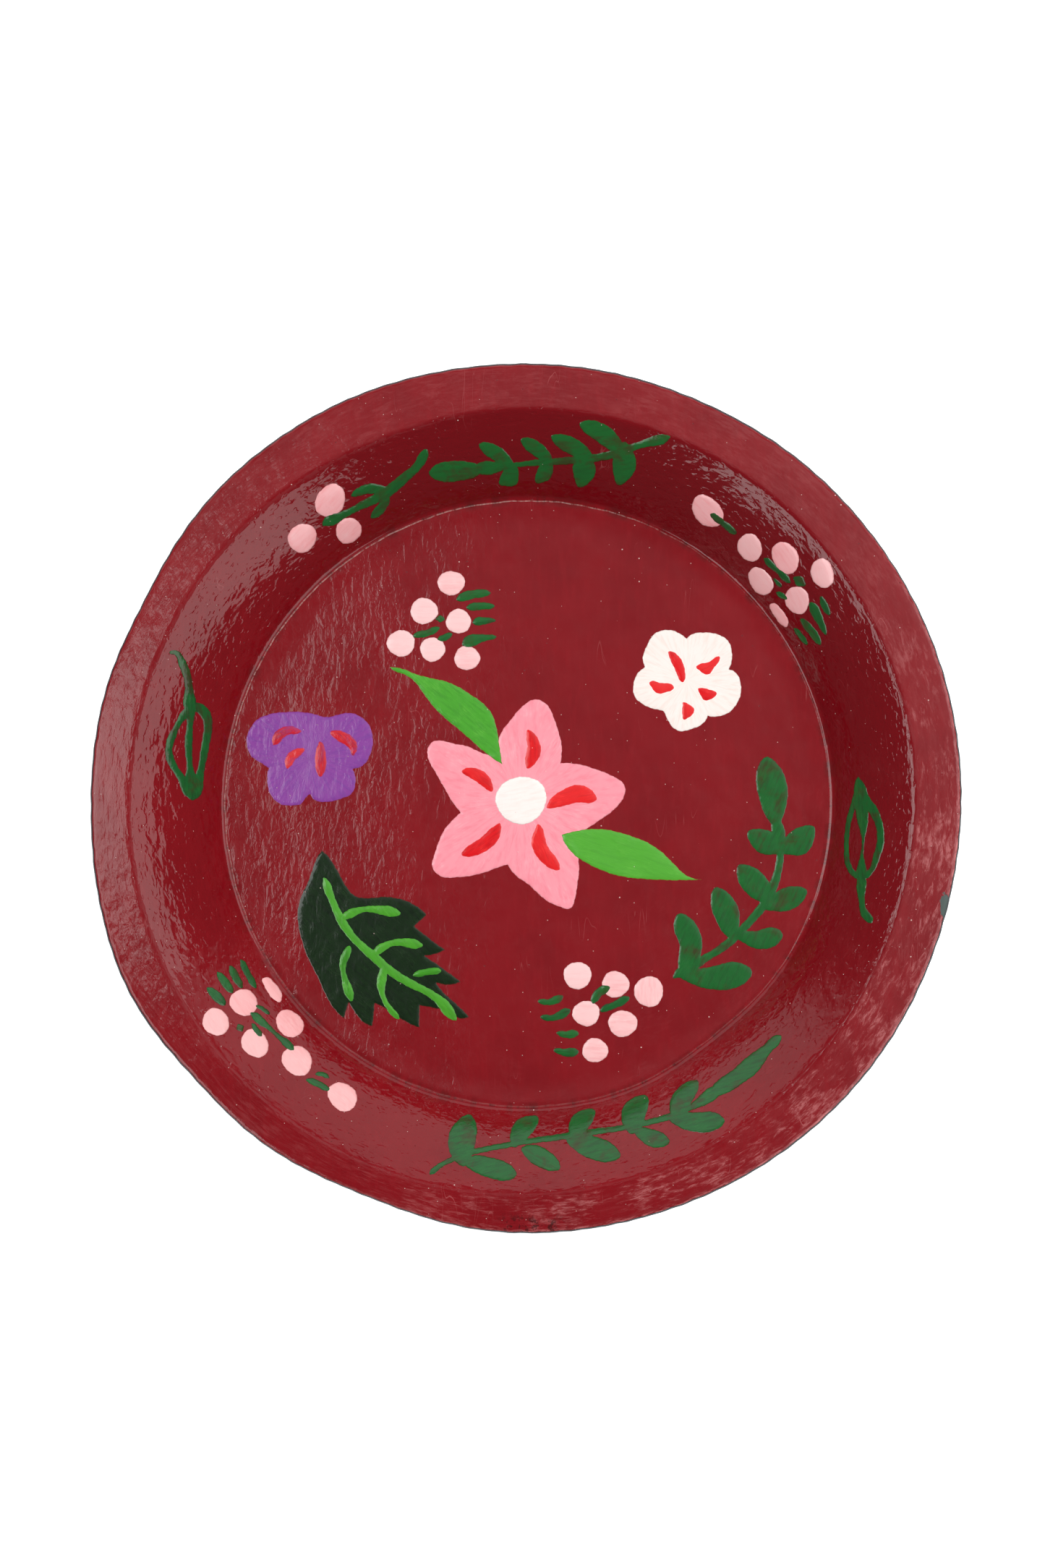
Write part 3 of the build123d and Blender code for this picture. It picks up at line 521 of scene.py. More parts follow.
def makeRedEnamel():
    r = Recipe(bpy.data.materials.new("redEnamel"), Specular_IOR_Level=0.5)
    place = r.place()
    x, y = r.part(place, "X"), r.part(place, "Y")
    zone = enamelZones(r, place)
    ring, roundX, roundY = zone["ring"], zone["roundX"], zone["roundY"]
    around, onBrim = zone["around"], zone["brim"]
    height = brushedRelief(r, place, zone, r.between(x, *redPaint["brushedSide"]))
    colour = coatTone(r, place, zone, x + y)
    colour = footMarks(r, zone, colour, y - x)

    # scuffs: most on the lower right of the brim, some all round it
    lowerRight = r.between(x * 0.75 - y * 0.66, *redPaint["wornSide"])
    worn = (lowerRight * 0.85 + 0.15) * (onBrim * 0.92 + 0.08)
    scuffGrain = r.noise(r.packed(roundX, roundY, ring * 4.2), 0.2, 6, 0.72, 0.5)
    scuffPatch = r.noise(r.packed(roundX, roundY, ring * 1.2), 0.07, 3, 0.6)
    scuff = r.between(scuffGrain * 0.7 + scuffPatch * 0.42, 0.54, 0.74) * worn
    haze = r.between(r.noise(around, 0.11, 5, 0.7, 0.5), 0.42, 0.72) * onBrim
    fineMarks = r.between(r.noise(around, 0.55, 5, 0.75), 0.62, 0.78) * (worn + onBrim * 0.1)
    thin = wanderingHair(r, place, 28, 0.12, 0.12, 1.4, 0.0035, 0.001)
    thin = thin + wanderingHair(r, place, -52, 0.1, 0.1, 1.1, 0.0035, 0.001)
    hairPatch = r.between(r.noise(place, 0.06, 2), 0.58, 0.7)
    scratch = thin * hairPatch * (worn * 0.3 + 0.2)
    rubbed = scuff * redPaint["scuffs"] + haze * redPaint["haze"]
    colour = r.mix(rubbed, colour, redPaint["scuff"])
    colour = r.mix(fineMarks * redPaint["fineMarks"], colour, redPaint["scuff"])
    colour = r.mix(scratch * redPaint["scratches"], colour, redPaint["scuff"])

    # dust specks everywhere, small dark pits, and a pale rub with a painted highlight along the
    # outer edge
    motes = speckDots(r, place, 0.16, 0.3, 0.5) + speckDots(r, place, 0.36, 0.2, 0.4)
    colour = r.mix(motes * redPaint["motes"], colour, redPaint["dustAndHighlight"])
    pits = speckDots(r, r.turned(place, 20, (1, 1, 1)), 0.22, 0.3, 0.3)
    colour = r.mix(pits * redPaint["pits"], colour, redPaint["grimeAndShade"])
    slant = r.number("slant")
    # painted highlight on the shoulder of the rolled edge, in the pale scuff tone, stronger at the
    # lower right
    edgeHighlightAndRub = r.between(slant, -12, -34) * r.between(ring, 146, 147)
    rubGrain = r.between(r.noise(around, 0.35, 4, 0.65), 0.4, 0.66)
    colour = r.mix(edgeHighlightAndRub * rubGrain * (lowerRight * 0.6 + 0.25), colour, redPaint["scuff"])

    # the enamel is thin over the far left of the rolled edge
    bareEdge = r.between(slant, -26, -37) * r.between(x - y, 60, -60)
    colour = r.mix(bareEdge * redPaint["bareEdge"], colour, redPaint["edge"])

    # one chip at the right edge shows the ground coat; the near edge is rubbed dark
    chipX, chipY = redPaint["chipAt"]
    off = r.packed(x - chipX, (y - chipY) * 0.4, 0.0)
    reach = r.node("ShaderNodeVectorMath", {"operation": "LENGTH"}, {0: off}, "Value")
    ragged = r.noise(place, 0.7, 3) * 1.4
    chip = r.between(reach + ragged, redPaint["chipSize"], redPaint["chipSize"] - 0.4)
    colour = r.mix(chip, colour, redPaint["chip"])
    fromSpot = r.size(x - redPaint["nearSpotX"])
    nearSpot = r.between(fromSpot, redPaint["nearSpotWidth"], 6) * r.between(y, -141, -146)
    nearWear = nearSpot * r.between(r.noise(place, 0.55, 4, 0.7), 0.47, 0.6)
    colour = r.mix(nearWear * redPaint["nearWear"], colour, redPaint["dirt"])

    dull = scuff * 0.5 + fineMarks * 0.4 + chip * 0.6 + motes * 0.3
    softer = zone["floor"] * 0.045 + onBrim * 0.05
    roughness = r.noise(place, 0.3, 3) * 0.08 + redPaint["polish"] + softer + dull * 0.5
    r.feed(Base_Color=colour, Roughness=roughness)
    bumpHeight = height + motes * 0.8 + scuff * 0.15 - pits * 0.6 - chip * 1.5
    r.feed(Normal=r.bump(bumpHeight, redPaint["relief"]))
    return r.owner


# what a paint has unless its own entry says otherwise: how far it thins at the edge, how streaky
# and how high the bristle marks are, the colour that shows through, and how much of it shows
plainPaint = {"edgeThin": 0.35, "streak": 0.6, "relief": 0.05, "under": (128, 10, 20), "thin": 0.0}
paints = {  # base, thin or shaded, and light tones
    "pink": {"base": (255, 158, 171), "low": (246, 130, 146), "high": (255, 184, 194)},
    "white": {"base": (253, 243, 236), "low": (248, 222, 212), "high": (255, 250, 247),
              "edgeThin": 0.3},
    "brightRed": {"base": (226, 18, 26), "low": (196, 8, 20), "high": (247, 52, 50),
                  "edgeThin": 0.3, "streak": 0.8, "under": (235, 110, 115)},
    "dullRed": {"base": (204, 30, 42), "low": (160, 34, 66), "high": (226, 58, 56),
                "edgeThin": 0.5, "streak": 0.9, "under": (126, 62, 140), "thin": 0.6},
    "lightGreen": {"base": (68, 160, 42), "low": (50, 136, 32), "high": (100, 184, 62),
                   "streak": 0.8},
    "leafGreen": {"base": (24, 92, 40), "low": (27, 62, 32), "high": (34, 112, 46),
                  "edgeThin": 0.6, "streak": 0.7, "under": (70, 22, 18), "thin": 0.55},
    "darkGreen": {"base": (18, 40, 16), "low": (10, 26, 10), "high": (32, 54, 28),
                  "edgeThin": 0.4, "streak": 0.9, "relief": 0.03},
    "veinGreen": {"base": (62, 148, 34), "low": (46, 112, 26), "high": (92, 176, 54),
                  "edgeThin": 0.2, "streak": 0.8, "under": (30, 60, 25)},
    "purple": {"base": (140, 67, 156), "low": (112, 59, 148), "high": (156, 88, 168),
               "edgeThin": 0.3, "streak": 0.5, "relief": 0.085},
    "berry": {"base": (254, 199, 199), "low": (247, 172, 174), "high": (255, 218, 216)},
    # the one berry paint, copied as painted light for the dim upper walls and as painted shade for
    # the near wall
    "berryLitCopyUpperWalls": {"base": (255, 186, 188), "low": (251, 160, 164), "high": (255, 204, 204)},
    "berryShadedCopyNearWall": {"base": (252, 180, 181), "low": (244, 156, 159), "high": (255, 202, 200)},
}


def makePaint(key):
    r = Recipe(bpy.data.materials.new(key + "Paint"), Specular_IOR_Level=0.5)
    own = {**plainPaint, **paints[key]}
    base, low, high, under = (ink(*own[tone]) for tone in ("base", "low", "high", "under"))
    place = r.place()
    grain, gap, shade = r.vector("grain"), r.number("gap"), r.number("shade")
    bristle = r.noise(r.scaled(grain, (0.16, 1.0, 1.0)), 0.9, 4, 0.6, 0.25)
    fine = r.noise(r.scaled(grain, (0.12, 1.0, 1.0)), 3.2, 2, 0.6, 0.1)
    cloud = r.noise(place, 0.16, 3, 0.6)
    colour = r.mix(r.between(bristle, 0.42, 0.7) * own["streak"], base, low)
    pale = r.between(fine * 0.5 + cloud * 0.5, 0.5, 0.72)
    colour = r.mix(pale * own["streak"], colour, high)
    colour = r.mix(r.between(shade, 0.2, 1.0) * 0.5, colour, high)
    starved = r.between(bristle * 0.2 + r.noise(place, 0.13, 3, 0.6, 0.4) * 0.85, 0.5, 0.72)
    colour = r.mix(starved * own["thin"], colour, under)
    ragged = gap + (r.noise(place, 1.6, 3, 0.6) - 0.5) * 0.5
    colour = r.mix(r.between(ragged, 0.32, 0.02) * own["edgeThin"], colour, under)
    motes = speckDots(r, place, 0.2, 0.24, 0.45)
    colour = r.mix(motes * 0.5, colour, redPaint["dustAndHighlight"])
    r.feed(Base_Color=colour, Roughness=bristle * 0.1 + 0.08 + motes * 0.3)
    leftness = r.between(r.part(place, "X"), *redPaint["brushedSide"])
    wrinkle = r.strokes(place, 0.4, 0.45, 3, 0.5, 0.5)
    height = bristle * 0.8 + fine * 0.2 + wrinkle * (leftness * 1.5 + 0.4) + motes
    r.feed(Normal=r.bump(height, own["relief"]))
    return r.owner


backTones = {
    "body": ink(22, 34, 38), "pale": ink(31, 45, 50), "fleck": ink(58, 70, 72),
    "scratch": ink(112, 120, 120), "mote": ink(150, 140, 128),
    "ground": ink(66, 80, 76), "groundPale": ink(88, 98, 92),
    "steel": ink(126, 128, 130), "steelPale": ink(158, 160, 160), "rust": ink(104, 62, 40),
    "lacquerRelief": 0.07, "groundRelief": 0.05, "steelRelief": 0.03,  # mm
}


def makeLacquer():
    r = Recipe(bpy.data.materials.new("backLacquer"), Specular_IOR_Level=0.2)
    place = r.place()
    cloud, fine = r.noise(place, 0.05, 4, 0.6), r.noise(place, 0.9, 4, 0.65)
    colour = r.mix(r.between(cloud, 0.35, 0.68), backTones["body"], backTones["pale"])
    colour = r.mix(r.between(fine, 0.62, 0.74) * 0.5, colour, backTones["fleck"])
    hair = wanderingHair(r, place, 63, 0.1, 0.1, 1.2, 0.006, 0.002)
    scratch = hair * r.between(r.noise(place, 0.03, 2), 0.5, 0.62)
    colour = r.mix(scratch * 0.6, colour, backTones["scratch"])
    motes = speckDots(r, place, 0.14, 0.35, 0.5)
    colour = r.mix(motes * 0.6, colour, backTones["mote"])
    r.feed(Base_Color=colour, Roughness=fine * 0.25 + 0.18 + scratch * 0.2)
    height = r.strokes(place, 0.3, 0.5, 3, 0.6, 0.3) + motes * 0.7 - scratch * 0.3
    r.feed(Normal=r.bump(height, backTones["lacquerRelief"]))
    return r.owner


def makeGround():
    r = Recipe(bpy.data.materials.new("groundCoat"))
    place = r.place()
    cloud, fine = r.noise(place, 0.2, 4, 0.6), r.noise(place, 2.0, 3, 0.6)
    colour = r.mix(r.between(cloud, 0.35, 0.65), backTones["ground"], backTones["groundPale"])
    r.feed(Base_Color=colour, Roughness=fine * 0.2 + 0.55)
    r.feed(Normal=r.bump(fine, backTones["groundRelief"]))
    return r.owner


def makeSteel(name, stretch):
    r = Recipe(bpy.data.materials.new(name))
    place = r.place()
    brush = r.noise(r.scaled(place, stretch), 1.2, 4, 0.6)
    rust = r.between(r.noise(place, 0.08, 5, 0.65), 0.56, 0.7)
    colour = r.mix(r.between(brush, 0.3, 0.7), backTones["steel"], backTones["steelPale"])
    colour = r.mix(rust * 0.6, colour, backTones["rust"])
    r.feed(Base_Color=colour, Metallic=1 - rust * 0.7, Roughness=brush * 0.15 + 0.32 + rust * 0.3)
    r.feed(Normal=r.bump(brush + rust, backTones["steelRelief"]))
    return r.owner


# the sheet and its coats
def finishPiece(piece, slot, *nodes):
    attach(piece, "root")
    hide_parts(*nodes)
    return piece


sheetMesh = {  # corners round the widest rings, on the upper and the lower side of each coat
    "enamel": (640, 160), "ground": (320, 160), "steel": (320, 320), "base": (320, 160),
    "wallLacquer": 480, "wire": (360, 16),
    "seamGap": 3,  # stations of the roll left bare before its end
}


def makeWire(finish):
    centre = tray["radius"] - rollRadius - tray["lacquer"]
    middle = (section["place"][outerEnd] - 1j * ahead(tray["brimSlope"]) * rollRadius).imag
    count, around = sheetMesh["wire"]
    points, faces = [], []
    for index in range(count):
        bearing = math.tau * index / count
        for turn in range(around):
            angle = math.tau * turn / around
            radius = float(outward(centre + tray["wire"] * math.cos(angle), bearing))
            z = middle + tray["wire"] * math.sin(angle) + float(liftAt(centre, bearing))
            points.append((radius * math.cos(bearing), radius * math.sin(bearing), z))
            after, over = (index + 1) % count, (turn + 1) % around
            corners = (index, turn), (after, turn), (after, over), (index, over)
            faces.append([a * around + b for a, b in corners])
    return newMesh("edge_wire", points, faces, finish)


def makeRimLacquer(finish):
    # under the wall and brim, then over the rolled edge down to the seam
    levels = (lacquerUnder, steelUnder, tray["lacquer"])
    lower, inner, rolled = (offsetLine(section, level) for level in levels)
    bare, end = section["place"], section["end"]
    seam = end["roll"] - sheetMesh["seamGap"]
    profile = [lower[i] for i in range(end["floor"], end["brim"] - 1)]
    profile += [rolled[i] for i in range(seam, end["coats"] - 1, -1)]
    profile += [bare[i] for i in range(end["coats"], end["roll"] + 1)]
    profile += [inner[i] for i in range(end["brim"], end["floor"] - 1, -1)]
    count, points, rings = sheetMesh["wallLacquer"], [], []
    bearing = math.tau * np.arange(count) / count
    for place in profile:
        radius = outward(place.real, bearing)
        z = place.imag + liftAt(place.real, bearing)
        rings.append(list(range(len(points), len(points) + count)))
        points.extend(np.stack([radius * np.cos(bearing), radius * np.sin(bearing), z], 1))
    faces = []
    for one, two in zip(rings, rings[1:] + rings[:1]):
        faces += [face[::-1] for face in stitch(one, two)]
    return newMesh("back_lacquer_wall", points, faces, finish)


lacquer = makeLacquer()
enamel = turnCoat("red_enamel_face", makeRedEnamel(), section, tray["ground"], enamelTop,
                  "axis", "coats", *sheetMesh["enamel"], relief)
finishPiece(enamel, "red_enamel", "face_enamel")
print("enamel brushed on,", len(enamel.data.polygons), "faces")
groundPiece = turnCoat("ground_coat_skin", makeGround(), section, 0, tray["ground"],
                       "axis", "coats", *sheetMesh["ground"])
finishPiece(groundPiece, "ground_coat", "ground_coat")
steelPiece = turnCoat("steel_dish", makeSteel("dishSteel", (0.2, 1, 1)), section, steelUnder, 0,
                      "axis", "roll", *sheetMesh["steel"])
finishPiece(steelPiece, "steel", "tray_body")
finishPiece(makeWire(makeSteel("wireSteel", (1, 1, 1))), "wire_steel", "rim_wire")
basePiece = turnCoat("back_lacquer_floor", lacquer, section, lacquerUnder, steelUnder,
                     "axis", "floor", *sheetMesh["base"])
finishPiece(basePiece, "back_lacquer", "base_lacquer")
finishPiece(makeRimLacquer(lacquer), "back_lacquer", "rim_lacquer")
print("sheet and coats made")


# paint films
film = {
    "seed": 5, "step": 0.45, "wobble": 0.1,
    "waves": [(1.0, 1.9, 1.0), (0.8, 3.7, 2.3), (0.9, 0.9, 1.7)],  # of the outline's wobble
    "sunk": 0.07, "proud": 0.02, "rounding": 0.35,  # below and above the enamel, and the edge
    "lip": 0.012, "lipAt": 0.6, "lipWidth": 0.35,  # paint gathers in a low lip near the edge
    "swell": 0.006, "domeWidth": 1.6,
    # the mesh: rings inside the outline, then a jittered grid clear of them
    "rings": (0.22, 0.5), "grid": 0.9, "rowShare": 0.866, "jitter": 0.12, "clear": 0.8,
    "steepest": 0.2, "weld": 1e-5, "above": 99, "least": 0.3,  # for reading the CAD outlines
    "bearingGrain": 14,  # how finely brush marks fan out from a flower's middle
    "creaseAngle": 65,
}
filmDraw = np.random.default_rng(film["seed"])


def coveredSides(name):
    # sides of the CAD film's plan, each running once round the covered part
    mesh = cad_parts[name].data
    points = [vertex.co / mm for vertex in mesh.vertices]
    faces = [list(face.vertices) for face in mesh.polygons if face.normal.z > film["steepest"]]
    cover = BVHTree.FromPolygons(points, faces)
    sides = {tuple(sorted(side)) for face in faces for side in zip(face, face[1:] + face[:1])}
    flat = [point.xy for point in points]
    made = delaunay_2d_cdt(flat, sorted(sides), [], 0, film["weld"])
    directed = set()
    for face in made[2]:
        middle = sum((made[0][corner] for corner in face), Vector((0, 0))) / len(face)
        if cover.ray_cast(Vector((*middle, film["above"])), Vector((0, 0, -1)))[0]:
            directed.update(zip(face, face[1:] + face[:1]))
    once = sorted(side for side in directed if side[::-1] not in directed)
    return [complex(*place) for place in made[0]], once


def topLoops(name):
    # outlines of a CAD film, in mm; those round holes run the other way
    places, sides = coveredSides(name)
    waysFrom = {}
    for start, end in sides:
        waysFrom.setdefault(start, []).append(end)
    loops = []
    while waysFrom:
        here, back, loop = next(iter(waysFrom)), None, []
        while here in waysFrom:
            ways = waysFrom[here]
            after = ways[0]
            if len(ways) > 1 and back is not None:
                came = places[here] - places[back]
                turns = [np.angle((places[way] - places[here]) / came) for way in ways]
                after = ways[int(np.argmax(turns))]
            ways.remove(after)
            if not ways:
                del waysFrom[here]
            loop.append((places[here].real, places[here].imag))
            here, back = after, here
        loops.append(np.array(loop))
    return [loop for loop in loops if len(loop) > 5 and abs(area(loop)) > film["least"]]


def area(loop):
    x, y = loop[:, 0], loop[:, 1]
    return 0.5 * np.sum(x * np.roll(y, -1) - y * np.roll(x, -1))


def forwardOf(ring):
    forward = np.roll(ring, -1, 0) - np.roll(ring, 1, 0)
    return forward / np.maximum(np.hypot(*forward.T), 1e-9)[:, None]


def resample(loop, phase):
    # the outline at even steps, with the slight wobble of a hand
    closed = np.vstack([loop, loop[:1]])
    lengths = np.concatenate([[0], np.cumsum(np.hypot(*np.diff(closed, axis=0).T))])
    count = max(10, int(lengths[-1] / film["step"]))
    spots = np.linspace(0, lengths[-1], count, endpoint=False)
    x, y = (np.interp(spots, lengths, closed[:, axis]) for axis in (0, 1))
    even = np.stack([x, y], 1)
    forward = forwardOf(even)
    side = np.stack([forward[:, 1], -forward[:, 0]], 1)
    wave = sum(reach * np.sin(spots * pace + lag * phase) for reach, pace, lag in film["waves"])
    return even + side * (wave * film["wobble"] * 0.5)[:, None]


def insideGap(points, loops):
    # distance to the outline, negative outside it
    starts = np.vstack(loops)
    ends = np.vstack([np.roll(loop, -1, 0) for loop in loops])
    run = ends - starts
    square = np.maximum((run ** 2).sum(1), 1e-12)
    gaps, batch = np.empty(len(points)), 2000
    for first in range(0, len(points), batch):
        spot = points[first:first + batch, None, :]
        along = np.clip(((spot - starts) * run).sum(2) / square, 0, 1)
        away = spot - starts - along[..., None] * run
        nearest = np.sqrt((away ** 2).sum(2).min(1))
        crosses = (starts[:, 1] > spot[..., 1]) != (ends[:, 1] > spot[..., 1])
        rise = np.where(run[:, 1] == 0, 1e-12, run[:, 1])
        at = run[:, 0] * (spot[..., 1] - starts[:, 1]) / rise + starts[:, 0]
        odd = (crosses & (spot[..., 0] < at)).sum(1) % 2 == 1
        gaps[first:first + batch] = np.where(odd, nearest, -nearest)
    return gaps


def filmRise(points, gap):
    # thickness of one coat of paint at a distance from its edge
    body = tray["paint"] * (1 - np.exp(-np.maximum(gap, 0) / film["rounding"]))
    lip = film["lip"] * np.exp(-(((gap - film["lipAt"]) / film["lipWidth"]) ** 2))
    swell = film["swell"] * np.sin(points[:, 0] * 1.3 + 1.1 * np.sin(points[:, 1] * 0.9))
    return body + np.where(gap > 0, lip + swell * np.clip(gap, 0, 1), 0)


def grainOf(points, loop, hub):
    if hub is not None:  # strokes of the brush run out from the flower's middle
        away = points - np.array(hub)
        radius = np.hypot(*away.T)
        bearing = np.arctan2(away[:, 1], away[:, 0])
        return np.stack([radius, bearing * film["bearingGrain"], 0 * radius], 1)
    middle = loop.mean(0)
    spread = np.linalg.eigh(np.cov((loop - middle).T))[1]
    axis = spread[:, 1]
    across = np.array([-axis[1], axis[0]])
    away = points - middle
    return np.stack([away @ axis, away @ across, np.full(len(points), middle.sum())], 1)


def spotsOf(group):
    # the outline, two rings just inside it, and a loose grid over the rest
    edge = np.vstack(group)
    spots = [edge]
    for reach in film["rings"]:
        shifted = []
        for ring in group:
            forward = forwardOf(ring)
            shifted.append(ring + np.stack([-forward[:, 1], forward[:, 0]], 1) * reach)
        shifted = np.vstack(shifted)
        spots.append(shifted[insideGap(shifted, group) > reach * 0.92])
    low, high = edge.min(0), edge.max(0)
    gridX = np.arange(low[0], high[0], film["grid"])
    gridY = np.arange(low[1], high[1], film["grid"] * film["rowShare"])
    meshX, meshY = np.meshgrid(gridX, gridY)
    meshX = meshX + (np.arange(len(gridY)) % 2 * film["grid"] / 2)[:, None]
    grid = np.stack([meshX.ravel(), meshY.ravel()], 1)
    grid = grid + filmDraw.uniform(-film["jitter"], film["jitter"], grid.shape)
    spots.append(grid[insideGap(grid, group) > film["clear"]])
    return np.vstack(spots)


def planOf(group):
    # the film's plan as triangles that all turn the same way
    sides, base = [], 0
    for ring in group:
        count = len(ring)
        sides += [(base + i, base + (i + 1) % count) for i in range(count)]
        base += count
    made = delaunay_2d_cdt([Vector(p) for p in spotsOf(group)], sides, [], 0, film["weld"])
    flat = np.array([tuple(v) for v in made[0]])
    corners = np.array([face for face in made[2] if len(face) == 3])
    kept = corners[insideGap(flat[corners].mean(1), group) > 0]
    used = np.unique(kept)
    renumber = -np.ones(len(flat), int)
    renumber[used] = np.arange(len(used))
    kept, flat = renumber[kept], flat[used]
    first, second, third = flat[kept[:, 0]], flat[kept[:, 1]], flat[kept[:, 2]]
    turn = np.cross(second - first, third - first)
    kept[turn < 0] = kept[turn < 0][:, ::-1]
    return flat, kept


outlines = {}


def paintFilm(name, slot, finish, under=(), hub=None, dome=0.0):
    # a closed film over the enamel, and over the films under it
    loops = topLoops(name)
    phases = filmDraw.uniform(0, 6, len(loops))
    loops = outlines[name] = [resample(loop, phase) for loop, phase in zip(loops, phases)]
    holes = [loop for loop in loops if area(loop) <= 0]
    points, faces, gaps, grains, shades = [], [], [], [], []
    for loop in [loop for loop in loops if area(loop) > 0]:
        group = [loop, *[hole for hole in holes if insideGap(hole[:1], [loop])[0] > 0]]
        flat, kept = planOf(group)
        gap = np.maximum(insideGap(flat, group), 0)
        height, slope = enamelHeight(flat[:, 0], flat[:, 1])
        for below in under:
            height = height + filmRise(flat, insideGap(flat, outlines[below])) / np.cos(slope)
        swollen = dome * (1 - np.exp(-gap / film["domeWidth"]))
        rise = film["proud"] + filmRise(flat, gap) + swollen
        start, count = len(points), len(flat)
        points.extend(np.column_stack([flat, height + rise / np.cos(slope)]))
        points.extend(np.column_stack([flat, height - film["sunk"]]))
        faces.extend((kept + start).tolist())
        faces.extend((kept[:, ::-1] + start + count).tolist())
        directed = {(a, b) for t in kept for a, b in ((t[0], t[1]), (t[1], t[2]), (t[2], t[0]))}
        for a, b in directed:
            if (b, a) not in directed:
                faces.append([b + start, a + start, a + start + count, b + start + count])
        gaps.extend(np.tile(gap, 2))
        grains.extend(np.tile(grainOf(flat, loop, hub), (2, 1)))
        shades.extend([filmDraw.uniform()] * (2 * count))
    piece = newMesh(name + "_film", points, faces, finish, film["creaseAngle"])
    addNumbers(piece, "gap", gaps)
    addNumbers(piece, "grain", np.array(grains))
    addNumbers(piece, "shade", shades)
    return finishPiece(piece, slot, name)


def middleOf(name):
    low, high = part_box(name)
    return ((low.x + high.x) / 2 / mm, (low.y + high.y) / 2 / mm)


finishes = {key: makePaint(key) for key in paints}
petals = ["centre_flower_petals"]
paintFilm(*petals, "pink_paint", finishes["pink"], hub=middleOf("centre_flower_eye"))
paintFilm("centre_flower_eye", "white_paint", finishes["white"], petals)
paintFilm("centre_flower_strokes", "bright_red_paint", finishes["brightRed"], petals)
for leaf in ("centre_flower_upper_leaf", "centre_flower_lower_leaf"):
    paintFilm(leaf, "light_green_paint", finishes["lightGreen"], petals)
for flower, strokes in (("white", "brightRed"), ("purple", "dullRed")):
    petals = [f"{flower}_flower_petals"]
    paintFilm(*petals, f"{flower}_paint", finishes[flower], hub=middleOf(*petals))
    paintFilm(f"{flower}_flower_strokes", "bright_red_paint", finishes[strokes], petals)
paintFilm("dark_leaf_blade", "dark_green_paint", finishes["darkGreen"])
paintFilm("dark_leaf_veins", "light_green_paint", finishes["veinGreen"], ["dark_leaf_blade"])
berryDome = 0.12  # berries stand this much higher in the middle, in mm
# berries on the walls take the lit and shaded copies of the berry paint
for spot, berry in (("upper", "berry"), ("lower", "berry"), ("wall_upper_left", "berryLitCopyUpperWalls"),
                    ("wall_upper_right", "berryLitCopyUpperWalls"), ("wall_lower_left", "berryShadedCopyNearWall")):
    berries = f"{spot}_berries"
    paintFilm(berries, "berry_paint", finishes[berry], dome=berryDome)
    paintFilm(f"{spot}_berry_leaves", "leaf_green_paint", finishes["leafGreen"], [berries])
for sprig in ("right_floor_sprig", "wall_far_sprig", "wall_near_sprig", "wall_right_leaf",
              "wall_left_leaf"):
    paintFilm(sprig, "leaf_green_paint", finishes["leafGreen"])
print("paint films made")


# camera, light and floor
studio = {
    # the camera's lean from straight above in degrees, its distance in metres, its lens and sensor
    "leanRight": 3.2, "leanNear": 3.4, "distance": 1.6, "lens": 106.77, "sensor": 36,
    "clip": (0.05, 60),
    "brimLevel": 24.0, "aimX": -1.1, "aimY": 4.8,  # what it looks at, in mm
    "ceiling": 2.2,  # height of the softboxes, in metres as are their sides
    "keyBox": ((-1.65, -0.46), (-0.02, 0.44)),  # across and along, from the tray's middle
    "keyGlow": 2.9,
    "fillBox": ((-0.1, 2.5), (-0.2, 2.2)),
    "fillGlow": 3.4,
    # cards have a bearing, a rise in degrees, a distance, a height, a width and a glow
    "lowFill": (225, 25, 2.5, 2.0, 2.0, 1.4),  # for the wall at the far right, not seen in gloss
    "glossCards": {"leftCard": (198, 47, 2.5, 0.8, 2.8, 2.8),
                   "rightCard": (-16, 44, 2.5, 1.25, 3.8, 1.8)},
}


def aimAt(item, spot):
    # the item's own up side stays towards the far side of the tray
    forward = (Vector(spot) - item.location).normalized()
    right = forward.cross(Vector((0, 1, 0))).normalized()
    turned = Matrix((right, right.cross(forward), -forward)).transposed()
    item.rotation_euler = turned.to_euler()


cameraData = bpy.data.cameras.new("camera")
cameraData.lens = studio["lens"]
cameraData.sensor_width = studio["sensor"]
cameraData.clip_start, cameraData.clip_end = studio["clip"]
camera = bpy.data.objects.new("camera", cameraData)
scene.collection.objects.link(camera)
scene.camera = camera
lean = Vector((math.tan(math.radians(studio["leanRight"])),
               -math.tan(math.radians(studio["leanNear"])), 1)).normalized()
centre = Vector((0, 0, studio["brimLevel"] * mm))
camera.location = centre + lean * studio["distance"]
aim = Vector((studio["aimX"] * mm, studio["aimY"] * mm, studio["brimLevel"] * mm))
aimAt(camera, aim)


def addLamp(name, size, sizeY, glow, place):
    data = bpy.data.lights.new(name, "AREA")
    data.shape = "RECTANGLE"
    data.size, data.size_y = size, sizeY
    data.energy = glow * math.pi * size * sizeY
    lamp = bpy.data.objects.new(name, data)
    lamp.location = place
    scene.collection.objects.link(lamp)
    return lamp


def addSoftbox(name, across, along, glow):
    # a wide diffuser that hangs level over the table
    middle = (sum(across) / 2, sum(along) / 2, studio["ceiling"])
    return addLamp(name, across[1] - across[0], along[1] - along[0], glow, middle)


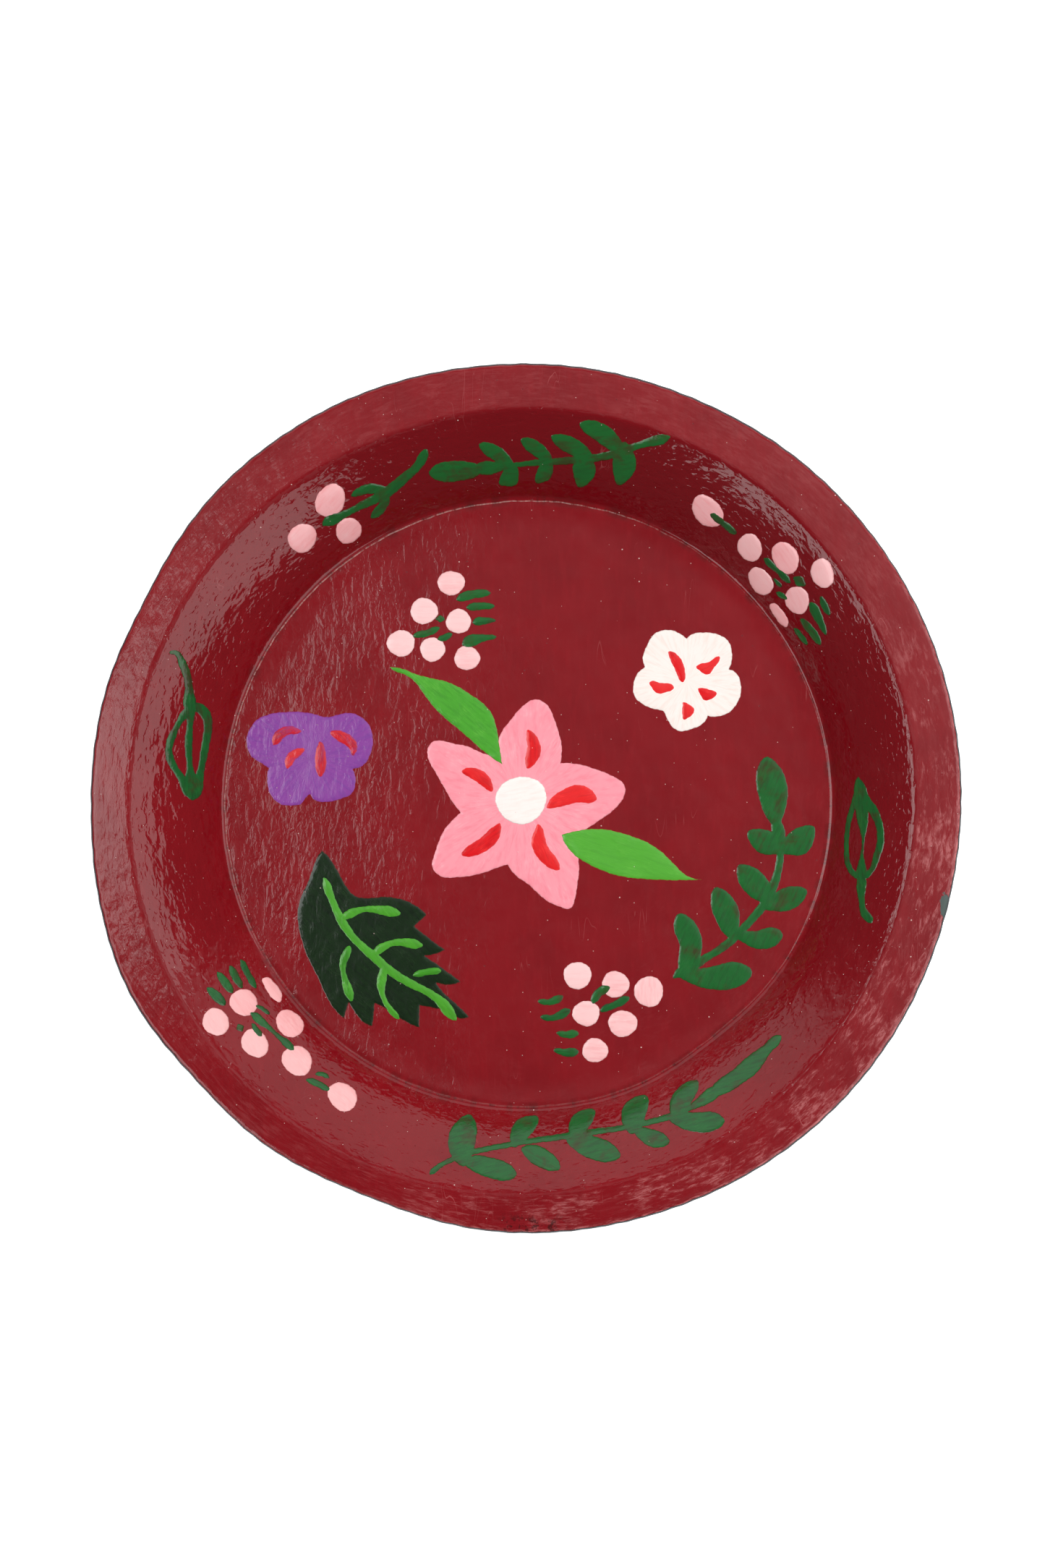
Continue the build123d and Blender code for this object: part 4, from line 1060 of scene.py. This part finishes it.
def addCard(name, bearing, rise, distance, tall, wide, glow):
    # a bright card beside the table that faces the tray
    reach = math.cos(math.radians(rise)) * distance
    turn = math.radians(bearing)
    level = math.sin(math.radians(rise)) * distance
    place = (reach * math.cos(turn), reach * math.sin(turn), level)
    lamp = addLamp(name, tall, wide, glow, place)
    aimAt(lamp, (0, 0, 0))
    return lamp


addSoftbox("keySoftbox", *studio["keyBox"], studio["keyGlow"])
for cardName, card in studio["glossCards"].items():
    addCard(cardName, *card).visible_diffuse = False  # mirrored by the wrinkles, and no more
addCard("lowFill", *studio["lowFill"]).visible_glossy = False
fill = addSoftbox("fillSoftbox", *studio["fillBox"], studio["fillGlow"])
fill.visible_glossy = False  # it fills the walls of the well without a reflection of its own

# a pale wall beyond the table, a dim room, and a ceiling lit more to the right and far side
room = {  # where each glow starts and is full, as shares of the direction, and how bright it is
    "farWall": (0.56, 0.72, 0.0, 0.78), "wallLean": 0.3, "wallTop": (0.68, 0.57),
    "ceilingRight": (0.0, 0.13, 0.0, 0.32), "ceilingFar": (-0.05, 0.28, 0.0, 0.36),
    "ceilingEdge": (0.7, 0.9), "dim": 0.12,
}
scene.world = bpy.data.worlds.new("studio")
sky = Recipe(scene.world, "Background", Color=(1, 1, 1, 1))
direction = sky.node("ShaderNodeTexCoord", {}, {}, "Generated")
rightward, farther, height = (sky.part(direction, axis) for axis in "XYZ")
farMask = farther + height * room["wallLean"]
farWall = sky.between(farMask, *room["farWall"]) * sky.between(height, *room["wallTop"])
ceiling = sky.between(rightward, *room["ceilingRight"]) + sky.between(farther, *room["ceilingFar"])
ceiling = ceiling * sky.between(height, *room["ceilingEdge"])
sky.feed(Strength=farWall + ceiling + room["dim"])


sweep = {"half": 9000.0, "glow": 0.85}  # mm, and how much the floor shines of itself


def makeFloor():
    r = Recipe(bpy.data.materials.new("paleFloor"), Roughness=0.6, Emission_Strength=sweep["glow"])
    r.feed(Emission_Color=(1, 1, 1, 1))
    grain = r.noise(r.place(), 0.05, 2)
    r.feed(Base_Color=r.mix(grain, ink(250, 250, 250), ink(253, 253, 253)))
    half = sweep["half"]
    corners = [(-half, -half, 0), (half, -half, 0), (half, half, 0), (-half, half, 0)]
    newMesh("pale_floor", corners, [[0, 1, 2, 3]], r.owner)


makeFloor()
scene.view_settings.view_transform = "Standard"
print("studio set")
